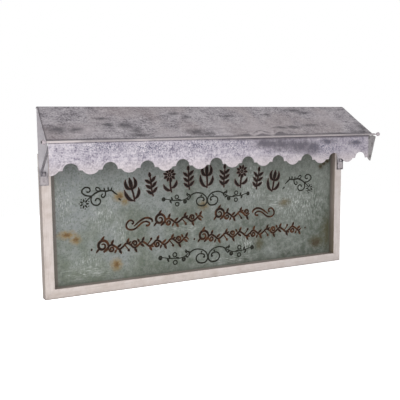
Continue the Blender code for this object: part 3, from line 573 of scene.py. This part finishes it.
# Steel wire gone dull: it shines a little, with fine brown specks.
pin_steel, tree, shader, place = new_material("dull_steel_wire")
specks = add_node(tree, "TexNoise", {"Vector": place, "Scale": 900.0, "Detail": 3.0})
tone = tinted(tree, "#8A8987", "#6B5140", 1.0, specks, (0.52, 0.68))
put(tree, shader, {"Base Color": tone, "Metallic": 0.8, "Roughness": 0.45})
corners = [f"{level}_{side}_v_nail" for level in ("top", "bottom") for side in ("left", "right")]
pins = [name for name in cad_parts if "_pin_" in name]
dress(pin_steel, *corners, *pins)

# Awning roof. One zinc sheet, rolled round a rod at its back edge and at its front edge,
# limewashed and rubbed back. It is a little wavy, and dented behind the front bead.
# A dent is its X, its Y, how far it is pushed out and how far round it the sheet follows, in mm.

BACK_ROLL = sum(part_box("back_rod"), Vector()) / 2
FRONT_ROLL = sum(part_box("front_rod"), Vector()) / 2
ROOF_BACK_HALF = 0.452
ROOF_FRONT_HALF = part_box("awning_roof")[1].x
SHEET = 0.0008
BACK_ROLL_MIDDLE = 0.0032
FRONT_ROLL_MIDDLE = 0.0022
ROLL_SWEEP = math.radians(300)
ROLL_STEPS = 16
ON_LINE = 0.00001
ROOF_COLUMNS = 220
ROOF_ROWS = 34
SWELL_SIZE = 0.11
SWELL_HEIGHT = 0.006
SMOOTH_ANGLE = math.radians(40)
ROOF_DENTS = [
    (70, -128, -4.2, 18), (98, -126, 4, 16), (130, -129, -4, 18), (160, -127, 2.6, 20),
    (-240, -115, -1.8, 45), (-80, -60, 1.4, 60), (290, -60, -1.6, 50), (-380, -80, 1.2, 55),
    (400, -110, -1.2, 40),
]


def edit_where(piece, kind, wanted):
    """Opens a piece's mesh, with only those of its vertices or faces selected that pass a test."""
    bpy.ops.object.mode_set(mode="EDIT")
    bpy.ops.mesh.select_mode(type=kind)
    bpy.ops.mesh.select_all(action="DESELECT")
    bpy.ops.object.mode_set(mode="OBJECT")
    for element in piece.data.vertices if kind == "VERT" else piece.data.polygons:
        element.select = wanted(element)
    bpy.ops.object.mode_set(mode="EDIT")


def wave(piece, group, size, height, direction):
    """Waves a sheet softly, as far as each vertex's weight in a group lets it."""
    clouds = bpy.data.textures.new(group.name, "CLOUDS")
    clouds.noise_scale = size
    waves = piece.modifiers.new("waves", "DISPLACE")
    waves.texture = clouds
    waves.texture_coords = "LOCAL"
    waves.vertex_group = group.name
    waves.strength = height
    waves.mid_level = 0.5
    waves.direction = direction
    bpy.ops.object.modifier_apply(modifier=waves.name)


def dent(piece, at, push, reach):
    """Pushes the sheet in or out round the vertex nearest to a point."""
    nearest = min(piece.data.vertices, key=lambda vertex: (vertex.co - Vector(at)).length).index
    edit_where(piece, "VERT", lambda vertex: vertex.index == nearest)
    bpy.ops.transform.translate(value=push, use_proportional_edit=True,
                                proportional_edit_falloff="SMOOTH", proportional_size=reach)
    bpy.ops.object.mode_set(mode="OBJECT")


def finish_sheet(piece):
    """Gives a modelled sheet its thickness and smooth faces."""
    wall = piece.modifiers.new("thickness", "SOLIDIFY")
    wall.thickness = SHEET
    wall.offset = 0.0
    bpy.ops.object.modifier_apply(modifier=wall.name)
    bpy.ops.object.shade_smooth_by_angle(angle=SMOOTH_ANGLE)


span = FRONT_ROLL - BACK_ROLL
off_axes = BACK_ROLL_MIDDLE + FRONT_ROLL_MIDDLE
slope = math.atan2(-span.z, -span.y) + math.asin(off_axes / math.hypot(span.y, span.z))
down_roof = Vector((0, -math.cos(slope), -math.sin(slope)))
off_roof = Vector((0, -math.sin(slope), math.cos(slope)))
roof_back = Vector((0, BACK_ROLL.y, BACK_ROLL.z)) + off_roof * BACK_ROLL_MIDDLE
roof_front = Vector((0, FRONT_ROLL.y, FRONT_ROLL.z)) - off_roof * FRONT_ROLL_MIDDLE

bpy.ops.object.select_all(action="DESELECT")
bpy.ops.mesh.primitive_grid_add(x_subdivisions=ROOF_COLUMNS, y_subdivisions=ROOF_ROWS, size=1,
                                location=(roof_back + roof_front) / 2, rotation=(slope, 0, 0))
roof = bpy.context.object
roof.name = "roof_sheet"
roof.scale = (2 * ROOF_BACK_HALF, (roof_front - roof_back).length, 1)
bpy.ops.object.transform_apply(location=True, rotation=True, scale=True)
for edge, roll in ((roof_back, BACK_ROLL), (roof_front, FRONT_ROLL)):
    edit_where(roof, "VERT", lambda vertex: (vertex.co.yz - edge.yz).length < ON_LINE)
    bpy.ops.mesh.spin(steps=ROLL_STEPS, angle=-ROLL_SWEEP, center=(0, roll.y, roll.z), axis=(1, 0, 0))
    bpy.ops.object.mode_set(mode="OBJECT")
bpy.ops.object.mode_set(mode="EDIT")
close_mesh(0.00001)

free_sheet = roof.vertex_groups.new(name="free_sheet")
for vertex in roof.data.vertices:
    forward = (BACK_ROLL.y - vertex.co.y) / (BACK_ROLL.y - FRONT_ROLL.y)
    vertex.co.x *= 1 + forward * (ROOF_FRONT_HALF / ROOF_BACK_HALF - 1)
    weight = max(0.0, min(1.0, 6 * forward, 8 * (1 - forward)) - 0.25)
    free_sheet.add([vertex.index], weight, "REPLACE")
wave(roof, free_sheet, SWELL_SIZE, SWELL_HEIGHT, "NORMAL")
for hollow in ROOF_DENTS:
    x, y, push, reach = [length * MM for length in hollow]
    height = roof_back.z + (y - roof_back.y) * math.tan(slope)
    dent(roof, (x, y, height), off_roof * push, reach)
finish_sheet(roof)

# Rain smudges, and thin lines of painted shade along the dents behind the bead.
RAIN_AND_CREASE_DARKS = [
    (-312, -63, 24, 6), (-304, -86, 18, 10), (-262, -90, 28, 14), (-240, -104, 22, 12),
    (-238, -121, 32, 8), (-116, -49, 18, 8), (-86, -64, 16, 7), (35, -59, 28, 6), (-85, -116, 36, 12),
    (-58, -124, 24, 10), (164, -53, 14, 6), (172, -108, 26, 6), (262, -36, 44, 8), (290, -44, 26, 7),
    (446, -112, 20, 20), (432, -130, 44, 12), (210, -106, 30, 8), (270, -100, 34, 7),
    (-428, -100, 30, 18), (-390, -104, 24, 12), (50, -130.5, 26, 4), (102, -123.5, 30, 3),
    (150, -131, 26, 4), (338, -134, 60, 6),
]
# Pale clouds, and one thin painted highlight between the dents behind the bead.
PALE_CLOUDS_AND_HIGHLIGHT = [
    (358, -65, 40, 22), (-160, -125, 32, 20), (100, -105, 34, 26), (-360, -110, 40, 20),
    (-10, -100, 30, 30), (98, -130, 34, 4),
]
WARMTHS_PER_METRE = 9.0
BEAD_RADIUS = 0.0026
DIRT_AND_SHADE_BEHIND_BEAD = (0.0105, 0.0070)
SIDE_EDGE = (0.0040, 0.0015)
EDGE_WEAR = 0.0016


def limewashed_zinc(name, tones, blotch, speck, pits=0.5):
    """Zinc sheet brushed with lime and rubbed back: matt, blotched and pitted. Sizes in metres."""
    material, tree, shader, place = new_material(name)
    blotches = add_node(tree, "TexNoise", {
        "Vector": place, "Scale": 1 / blotch, "Detail": 6.0, "Roughness": 0.7})
    specks = add_node(tree, "TexNoise", {
        "Vector": place, "Scale": 1 / speck, "Detail": 2.0, "Roughness": 0.6})
    rubbing = add_node(tree, "Mapping", {
        "Vector": place, "Scale": (0.7 / blotch, 6 / blotch, 6 / blotch)})
    rubs = add_node(tree, "TexNoise", {
        "Vector": rubbing, "Scale": 1.0, "Detail": 4.0, "Roughness": 0.6})
    rubbed = add_node(tree, "Mix", {0: 0.35, 2: blotches, 3: rubs})
    blend = add_node(tree, "Mix", {0: 0.42, 2: rubbed, 3: specks})
    ramp = add_node(tree, "ValToRGB", {0: blend})
    steps = ramp.color_ramp.elements
    steps[0].position = 0.40
    steps[0].color = linear(tones[0])
    steps[1].position = 0.59
    steps[1].color = linear(tones[3])
    steps.new(0.46).color = linear(tones[1])
    steps.new(0.53).color = linear(tones[2])
    pitting = add_node(tree, "TexNoise", {
        "Vector": place, "Scale": 0.8 / speck, "Detail": 1.5, "Roughness": 0.5, "Distortion": 0.8})
    pitted = add_node(tree, "MapRange", {"Value": pitting, "From Min": 0.56, "From Max": 0.64})
    fields = add_node(tree, "TexNoise", {"Vector": place, "Scale": 22.0, "Detail": 2.0})
    field = add_node(tree, "MapRange", {"Value": fields, "From Min": 0.46, "From Max": 0.58})
    tone = tinted(tree, ramp, tones[0], pits, [pitted, field])
    relief = add_node(tree, "Bump", {"Height": blend, "Strength": 0.4, "Distance": 0.0010})
    put(tree, shader, {"Normal": relief, "Roughness": 0.6})
    return material, tree, shader, place, tone


# The roof's limewash: grey with warm and pale clouds and dark smudges from rain on its upper
# side, with painted shade and a painted highlight along the dents behind the bead. It is dark
# along its edges, with dirt and painted shade behind the bead, and the bead is rubbed and given
# a painted highlight, nearly white on the left.
zinc, tree, shader, place, tone = limewashed_zinc(
    "limewashed_zinc_roof", ("#635D64", "#918B91", "#AEA8AD", "#C6BFC4"), 0.028, 0.0042, 0.6)
parts = add_node(tree, "SeparateXYZ", {0: place}).outputs
warmth = add_node(tree, "TexNoise", {"Vector": place, "Scale": WARMTHS_PER_METRE, "Detail": 2.0})
tone = tinted(tree, tone, "#9C8F8F", 0.42, warmth, (0.46, 0.60))
tone = tinted(tree, tone, "#BEB5BA", 1.0, spots(tree, place, PALE_CLOUDS_AND_HIGHLIGHT, 90.0, (1, 1, 0)))
rain_and_crease_dark = add_node(tree, "MapRange", {
    "Value": spots(tree, place, RAIN_AND_CREASE_DARKS, 75.0, (1, 1, 0)), "From Min": 0.14, "From Max": 0.50})
facing = add_node(tree, "SeparateXYZ", {0: add_node(tree, "NewGeometry").outputs["Normal"]}).outputs
upper_side = add_node(tree, "Math", {0: facing["Z"], 1: 0.0}, operation="GREATER_THAN")
tone = tinted(tree, tone, "#4A464C", 0.85, [rain_and_crease_dark, upper_side])
bead_back = FRONT_ROLL.y + BEAD_RADIUS
# Dirt and painted shade in a line behind the bead.
tone = tinted(tree, tone, "#4E4951", 0.75, parts["Y"], [bead_back + reach for reach in DIRT_AND_SHADE_BEHIND_BEAD])
slant = (ROOF_FRONT_HALF - ROOF_BACK_HALF) / (BACK_ROLL.y - FRONT_ROLL.y)
from_axis = add_node(tree, "Math", {
    0: parts["Y"], 1: slant, 2: apart(tree, parts["X"])}, operation="MULTIPLY_ADD")
side_edge = ROOF_BACK_HALF + slant * BACK_ROLL.y
tone = tinted(tree, tone, "#4A454B", 0.7, from_axis, [side_edge - reach for reach in SIDE_EDGE])
# The bead rubbed pale, with a painted highlight along it, strongest on the left.
on_bead = add_node(tree, "Math", {0: parts["Y"], 1: bead_back}, operation="LESS_THAN")
left_part = add_node(tree, "MapRange", {
    "Value": parts["X"], "From Min": 0.05, "From Max": -0.30, "To Min": 0.48})
bead_wear_and_highlight = add_node(tree, "MapRange", {
    "Value": warmth, "From Min": 0.40, "From Max": 0.56, "To Min": 0.5})
tone = tinted(tree, tone, "#D6CCCC", 0.95, [on_bead, left_part, bead_wear_and_highlight])
off_bead = add_node(tree, "Math", {0: parts["Y"], 1: bead_back}, operation="GREATER_THAN")
tone = tinted(tree, tone, "#514C53", 0.5, [near_edges(tree, EDGE_WEAR), off_bead])
put(tree, shader, {"Base Color": tone})
roof.data.materials.append(zinc)
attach(roof, "sign")
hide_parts("awning_roof")

# Valance. A zinc strip cut to round lobes along its foot, with a flange bent back under the
# roof. Its right end is creased and darker, the darkness partly painted shade, and a grey smear
# runs across its right half.

VALANCE_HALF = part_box("awning_valance")[1].x
VALANCE_FACE, VALANCE_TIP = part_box("awning_valance")[0].yz
VALANCE_PERIODS = 10
VALANCE_ROWS = 14
UNDER_ROOF = 0.0011
FLANGE = 0.010
FLANGE_STEPS = 2
PAST_CREASE = 0.0065
RIPPLE_SIZE = 0.07
RIPPLE_HEIGHT = 0.005
LOBE_HALF = 0.019
LOBE_DEPTH = 0.0098
NOTCH_HALF = 0.018
NOTCH_HEIGHT = 0.0164
LOBE_STEPS = 6
NOTCH_STEPS = 14
CREASE = 0.442
END_SPREAD = 0.0135
END_DRAW = 0.004
END_LIFT = 0.0020
LIFT_RUN = 0.013
END_DROOP = 0.0041
DROOP_START = 0.002
DROOP_RUN = 0.0075
END_TURN = 0.22
LEFT_STRETCH = 0.12

period = 2 * VALANCE_HALF / VALANCE_PERIODS
lobe_radius = (LOBE_HALF ** 2 + LOBE_DEPTH ** 2) / (2 * LOBE_DEPTH)
lobe_turn = math.asin(LOBE_HALF / lobe_radius)
foot_line = []
for i in range(LOBE_STEPS + 1):
    turn = lobe_turn * i / LOBE_STEPS
    foot_line.append((lobe_radius * math.sin(turn), VALANCE_TIP + lobe_radius * (1 - math.cos(turn))))
for i in range(NOTCH_STEPS + 1):
    turn = math.pi * (1 - i / NOTCH_STEPS)
    foot_line.append((period / 2 + NOTCH_HALF * math.cos(turn),
                      VALANCE_TIP + LOBE_DEPTH + NOTCH_HEIGHT * math.sin(turn)))
for x, z in reversed(foot_line[:LOBE_STEPS + 1]):
    foot_line.append((period - x, z))
valance_middle = VALANCE_FACE + SHEET / 2
roof_above = roof_front.z + (valance_middle - roof_front.y) * math.tan(slope)
valance_top = roof_above - UNDER_ROOF / math.cos(slope)

bpy.ops.object.select_all(action="DESELECT")
bpy.ops.mesh.primitive_grid_add(x_subdivisions=len(foot_line) - 1, y_subdivisions=VALANCE_ROWS, size=1,
                                location=(0, valance_middle, 0), rotation=(math.radians(90), 0, 0))
valance = bpy.context.object
valance.name = "scalloped_valance"
bpy.ops.object.transform_apply(location=True, rotation=True, scale=True)
for vertex in valance.data.vertices:
    column = round((vertex.co.x + 0.5) * (len(foot_line) - 1))
    share = vertex.co.z + 0.5
    x, foot = foot_line[column]
    vertex.co = (x - VALANCE_HALF, valance_middle, foot + (valance_top - foot) * share)
repeat = valance.modifiers.new("periods", "ARRAY")
repeat.count = VALANCE_PERIODS
repeat.use_relative_offset = False
repeat.use_constant_offset = True
repeat.constant_offset_displace = (period, 0, 0)
repeat.use_merge_vertices = True
repeat.merge_threshold = 0.00005
bpy.ops.object.modifier_apply(modifier=repeat.name)
edit_where(valance, "VERT", lambda vertex: vertex.co.z > valance_top - ON_LINE
           and vertex.co.x < CREASE + PAST_CREASE)
for i in range(FLANGE_STEPS):
    bpy.ops.mesh.extrude_region_move(
        TRANSFORM_OT_translate={"value": -down_roof * FLANGE / FLANGE_STEPS})
bpy.ops.object.mode_set(mode="OBJECT")
for vertex in valance.data.vertices:
    vertex.co.x -= max(0.0, -vertex.co.x - CREASE) * LEFT_STRETCH
    past = vertex.co.x - CREASE
    if past > 0 and vertex.co.y < VALANCE_FACE + 2 * SHEET:
        rise = (vertex.co.z - VALANCE_TIP) / (valance_top - VALANCE_TIP)
        share = past / (VALANCE_HALF - CREASE)
        vertex.co.x += share * (END_SPREAD * rise - END_DRAW * (1 - rise))
        vertex.co.y += past * END_TURN
        lifted = math.sqrt(min(1.0, past / LIFT_RUN)) * END_LIFT
        beyond_roll = (vertex.co.x - ROOF_FRONT_HALF + DROOP_START) / DROOP_RUN
        drooped = max(0.0, min(1.0, beyond_roll)) * END_DROOP
        vertex.co.z += (lifted - drooped) * rise
free_foot = valance.vertex_groups.new(name="free_foot")
for vertex in valance.data.vertices:
    rise = (vertex.co.z - VALANCE_TIP) / (valance_top - VALANCE_TIP)
    free_foot.add([vertex.index], max(0.0, 1 - rise * 1.3), "REPLACE")
wave(valance, free_foot, RIPPLE_SIZE, RIPPLE_HEIGHT, "Y")
finish_sheet(valance)

SMEARS = [
    (100, 27, 45, 14), (150, 22, 50, 18), (205, 18, 50, 20), (245, 12, 28, 20), (300, 27, 30, 8),
    (395, 22, 26, 7),
]
INK_SPECKS = [
    (300, 12, 42, 24), (395, 24, 30, 16), (-340, 30, 60, 12), (-220, 24, 50, 16), (-90, 28, 60, 14),
    (10, 26, 40, 14),
]
END_MARKS = [(452, -18, 6, 6), (459, 16, 3, 8), (446, 34, 4, 6)]
INK_PER_METRE = 330.0

# The valance's limewash: paler and violet-grey, with blue-black ink specks, a dark smear and
# a painted shadow line under the bead on the right half, and bare dull zinc past the crease,
# darkened further as painted shade.
pale_zinc, tree, shader, place, tone = limewashed_zinc(
    "limewashed_zinc_valance", ("#756E7E", "#A8A1AD", "#C0B9C3", "#D2CBD1"), 0.022, 0.0040, 0.8)
parts = add_node(tree, "SeparateXYZ", {0: place}).outputs
tone = tinted(tree, tone, "#8E8790", 0.34, parts["X"], (-0.15, 0.25))
tone = tinted(tree, tone, "#D2C7C7", 0.55, parts["Z"], (0.002, -0.024))
tone = tinted(tree, tone, "#514C56", 0.92, spots(tree, place, SMEARS, 60.0), (0.08, 0.42))
ink = add_node(tree, "TexNoise", {
    "Vector": place, "Scale": INK_PER_METRE, "Detail": 2.0, "Roughness": 0.6})
inked = add_node(tree, "MapRange", {"Value": ink, "From Min": 0.52, "From Max": 0.59})
tone = tinted(tree, tone, "#4C5066", 2.4, [inked, spots(tree, place, INK_SPECKS, 120.0)])
# Painted shadow of the bead along the valance's top, on the right half.
bead_shadow_line = add_node(tree, "MapRange", {
    "Value": parts["Z"], "From Min": valance_top - 0.005, "From Max": valance_top - 0.001})
right_half = add_node(tree, "MapRange", {"Value": parts["X"], "From Min": -0.10, "From Max": 0.02})
tone = tinted(tree, tone, "#575159", 0.75, [bead_shadow_line, right_half])
# Past the crease: dull zinc, darkened as painted shade where the end turns away.
tone = tinted(tree, tone, "#807D7B", 0.75, parts["X"], (CREASE - 0.001, CREASE + 0.003))
tone = tinted(tree, tone, "#4E4A48", 0.85, spots(tree, place, END_MARKS, 260.0), (0.15, 0.40))
tone = tinted(tree, tone, "#6B656B", 0.35, near_edges(tree, 0.0012))
put(tree, shader, {"Base Color": tone})
valance.data.materials.append(pale_zinc)
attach(valance, "sign")
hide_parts("awning_valance")

# Rods and finials. Drawn steel rod in both rolls. The back one is dark with age. The front one
# is limewashed, with a small turned ball pushed on each end, where the rod's dark end shows.

SOLID_BALL_RADIUS = 0.0055
BALL_RADIUS = 0.00546
NECK_START = 0.00475
NECK_END = 0.00511
BALL_SEGMENTS = 32
BALL_RINGS = 20
ROD_END_DEPTH = 0.0017
BALL_SMOOTH_ANGLE = math.radians(35)

# Steel drawn through a die and gone dark: a dull shine, with scale in fine spots.
dark_steel, tree, shader, place = new_material("dark_drawn_steel")
mill_scale = add_node(tree, "TexNoise", {"Vector": place, "Scale": 500.0, "Detail": 4.0})
tone = tinted(tree, "#4A4548", "#7B7276", 1.0, mill_scale)
put(tree, shader, {"Base Color": tone, "Metallic": 0.6, "Roughness": 0.5})
dress(dark_steel, "back_rod")

# Limewash on steel: nearly white and matt, and the ball's outer pole is dark where the rod ends.
ball_lime, tree, shader, place, tone = limewashed_zinc(
    "limewashed_steel_ball", ("#8E858B", "#ADA3A8", "#C3B8BC", "#D2C8CB"), 0.006, 0.0020)
parts = add_node(tree, "SeparateXYZ", {0: place}).outputs
left_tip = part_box("left_ball_finial")[0].x
right_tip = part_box("right_ball_finial")[1].x
rod_end = add_node(tree, "Math", {
    0: apart(tree, parts["X"], (left_tip + right_tip) / 2),
    1: (right_tip - left_tip) / 2 - ROD_END_DEPTH}, operation="GREATER_THAN")
tone = tinted(tree, tone, "#2C2528", 0.95, rod_end)
put(tree, shader, {"Base Color": tone})
dress(ball_lime, "front_rod")

for node, tip, toward_rod in (("left_ball_finial", left_tip, 1), ("right_ball_finial", right_tip, -1)):
    middle = Vector((tip + toward_rod * SOLID_BALL_RADIUS, FRONT_ROLL.y, FRONT_ROLL.z))
    bpy.ops.object.select_all(action="DESELECT")
    bpy.ops.mesh.primitive_uv_sphere_add(segments=BALL_SEGMENTS, ring_count=BALL_RINGS, radius=BALL_RADIUS,
                                         location=middle, rotation=(0, math.radians(90), 0))
    ball = bpy.context.object
    ball.name = node.replace("_finial", "") + "_turned"
    bpy.ops.object.transform_apply(location=True, rotation=True, scale=True)
    edit_where(ball, "FACE", lambda face: (face.center.x - middle.x) * toward_rod > NECK_START)
    bpy.ops.mesh.extrude_region_move()
    bpy.ops.transform.resize(value=(0, 1, 1), center_override=(middle.x + toward_rod * NECK_END, 0, 0))
    close_mesh(0.000001)
    bpy.ops.object.shade_smooth_by_angle(angle=BALL_SMOOTH_ANGLE)
    ball.data.materials.append(ball_lime)
    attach(ball, "front_rod")
    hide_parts(node)

# Straps and stays. Flat zinc-plated strip: two straps screwed down the stiles, limewashed with
# the awning and grimy at the edges, with a painted shadow line round their lower edges, and two
# stays from the straps' feet up to the roof, painted dark as the shade under the roof.

EDGE_PATCHES_PER_METRE = 160.0
EDGE_MARK_REACH = (0.0042, 0.0018)
SHADED_HEIGHT = (-0.045, -0.020)

# The straps' limewash: painted light makes it nearly white under the roof, where the roof shades it;
# darker below it, and darkest at the edges, with a painted shadow line there.
strap_zinc, tree, shader, place, tone = limewashed_zinc(
    "limewashed_zinc_strap", ("#A39EA5", "#C9C4CB", "#DAD5DB", "#E4E0E4"), 0.026, 0.0050)
parts = add_node(tree, "SeparateXYZ", {0: place}).outputs
edge_patches = add_node(tree, "TexNoise", {
    "Vector": place, "Scale": EDGE_PATCHES_PER_METRE, "Detail": 3.0, "Roughness": 0.7})
patchy_edges = add_node(tree, "MapRange", {"Value": edge_patches, "From Min": 0.42, "From Max": 0.56})
strap_low, strap_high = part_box("right_strap")
strap_half = (strap_high.x - strap_low.x) / 2
from_line = apart(tree, apart(tree, parts["X"]), strap_low.x + strap_half)
from_side = add_node(tree, "Math", {0: strap_half, 1: from_line}, operation="SUBTRACT")
from_foot = add_node(tree, "Math", {0: parts["Z"], 1: strap_low.z}, operation="SUBTRACT")
nearest = add_node(tree, "Math", {0: from_side, 1: from_foot}, operation="MINIMUM")
at_edge = add_node(tree, "MapRange", {
    "Value": nearest, "From Min": EDGE_MARK_REACH[0], "From Max": EDGE_MARK_REACH[1]})
broken = add_node(tree, "Math", {0: patchy_edges, 1: 0.5, 2: 0.5}, operation="MULTIPLY_ADD")
right_side = add_node(tree, "MapRange", {
    "Value": parts["X"], "From Min": -0.4, "From Max": 0.4, "To Min": 0.45})
# Painted light: the part under the roof, which the roof shades, is made nearly white.
under_roof_painted_light = add_node(tree, "MapRange", {
    "Value": parts["Z"], "From Min": SHADED_HEIGHT[0], "From Max": SHADED_HEIGHT[1]})
tone = tinted(tree, tone, "#F2EEF2", 0.8, under_roof_painted_light)
open_part = add_node(tree, "Math", {0: 1.0, 1: under_roof_painted_light}, operation="SUBTRACT")
tone = tinted(tree, tone, "#978B88", 0.50, open_part)
# Edges worn dark, and on the lower part a near-black painted shadow line round the edges.
tone = tinted(tree, tone, "#5F585D", 0.35, [at_edge, broken, right_side])
tone = tinted(tree, tone, "#332C2E", 0.9, [at_edge, broken, right_side, open_part])
put(tree, shader, {"Base Color": tone})
dress(strap_zinc, "left_strap", "right_strap")

# The stays' zinc: dark grey, painted shade for the stays under the roof, with a few pale brush marks.
stay_zinc, tree, shader, place, tone = limewashed_zinc(
    "limewashed_zinc_stay", ("#3E3A40", "#5A555C", "#7A757C", "#B0ABB0"), 0.020, 0.0045)
put(tree, shader, {"Base Color": tone})
dress(stay_zinc, "left_stay", "right_stay")

# Rivets and screws. Domed steel rivets through the tabs, limewashed with the roof, and
# round-head wood screws, limewashed with the straps, the two that hold the hangers as well.

dress(zinc, *[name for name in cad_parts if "rivet" in name])
dress(strap_zinc, *[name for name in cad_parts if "screw" in name])

# Hangers and bumpers. Two ring hangers of zinc-plated steel, each screwed to the back of a
# stile, and two moulded rubber buttons on the back that keep the foot off the wall.

# Bright zinc plate: shiny, with the faint crystals of the plating.
plated, tree, shader, place = new_material("bright_zinc_plate")
crystals = add_node(tree, "TexVoronoi", {"Vector": place, "Scale": 400.0})
tone = tinted(tree, "#9A9C9E", "#B8BABC", 1.0, crystals)
put(tree, shader, {"Base Color": tone, "Metallic": 0.9, "Roughness": 0.35})
dress(plated, "left_hanger_plate", "right_hanger_plate", "left_hanger_ring", "right_hanger_ring")

# Moulded rubber: nearly black and dull, with a bloom of dust.
rubber, tree, shader, place = new_material("black_rubber")
dust = add_node(tree, "TexNoise", {"Vector": place, "Scale": 700.0, "Detail": 3.0})
tone = tinted(tree, "#242426", "#39393A", 1.0, dust)
put(tree, shader, {"Base Color": tone, "Roughness": 0.85})
dress(rubber, "left_bumper", "right_bumper")

# Studio. White paper underneath and a white world behind, a large soft lamp beside the camera and
# fills from the left and from behind. The camera stands in front and to the left, a little above the sign.

CAMERA_PLACE = Vector((-0.8346, -1.5478, 0.0899))
CAMERA_YAW = math.radians(27.8858)
CAMERA_PITCH = math.radians(-7.0574)
CAMERA_ROLL = math.radians(-0.5061)
LENS = 58.80
FLOOR_HEIGHT = -1.0
FLOOR_SIZE = 12
FLOOR_GLOW = 0.8
AMBIENT = 0.40
LAMP_SIZE = 1.2
LAMP_AIM = Vector((0, 0, -0.1))
LAMPS = [
    ("key_softbox", (-0.15, -2.5, 0.35), 30.0),
    ("left_fill", (-2.2, -0.9, 0.3), 9.0),
    ("back_fill", (0.6, 2.4, 0.7), 18.0),
]

for name, stand, power in LAMPS:
    data = bpy.data.lights.new(name, "AREA")
    data.shape = "SQUARE"
    data.size = LAMP_SIZE
    data.energy = power
    lamp = bpy.data.objects.new(name, data)
    bpy.context.scene.collection.objects.link(lamp)
    lamp.location = stand
    lamp.rotation_euler = (LAMP_AIM - Vector(stand)).to_track_quat("-Z", "Y").to_euler()


def backdrop_seen(tree):
    """1 where the backdrop is seen, mirrored or seen through glass, and 0 where it only gives light."""
    paths = add_node(tree, "LightPath").outputs
    mirrored = add_node(tree, "Math", {
        0: paths["Is Camera Ray"], 1: paths["Is Glossy Ray"]}, operation="MAXIMUM")
    return add_node(tree, "Math", {0: mirrored, 1: paths["Is Transmission Ray"]}, operation="MAXIMUM")


bpy.ops.object.select_all(action="DESELECT")
bpy.ops.mesh.primitive_plane_add(size=FLOOR_SIZE, location=(0, 0, FLOOR_HEIGHT))
floor = bpy.context.object
floor.name = "paper_floor"
bpy.ops.object.transform_apply(location=True, rotation=True, scale=True)
# White paper: matt, and lit up to white only where the camera sees it.
paper, tree, shader, place = new_material("white_paper")
glow = add_node(tree, "Math", {0: backdrop_seen(tree), 1: FLOOR_GLOW}, operation="MULTIPLY")
put(tree, shader, {
    "Base Color": "#F4F4F4", "Roughness": 0.9, "Emission Color": "#FFFFFF", "Emission Strength": glow})
floor.data.materials.append(paper)

world = bpy.data.worlds.new("soft_studio")
bpy.context.scene.world = world
world.use_nodes = True
tree = world.node_tree
level = add_node(tree, "MapRange", {"Value": backdrop_seen(tree), "To Min": AMBIENT})
put(tree, tree.nodes["Background"], {"Color": "#FFFFFF", "Strength": level})

lens = bpy.data.cameras.new("camera")
lens.lens = LENS
camera = bpy.data.objects.new("camera", lens)
bpy.context.scene.collection.objects.link(camera)
camera.location = CAMERA_PLACE
turned_right = Matrix.Rotation(-CAMERA_YAW, 3, "Z")
tipped_up = Matrix.Rotation(math.radians(90) + CAMERA_PITCH, 3, "X")
camera.rotation_euler = (turned_right @ tipped_up @ Matrix.Rotation(CAMERA_ROLL, 3, "Z")).to_euler()
bpy.context.scene.camera = camera
bpy.context.scene.view_settings.view_transform = "Standard"
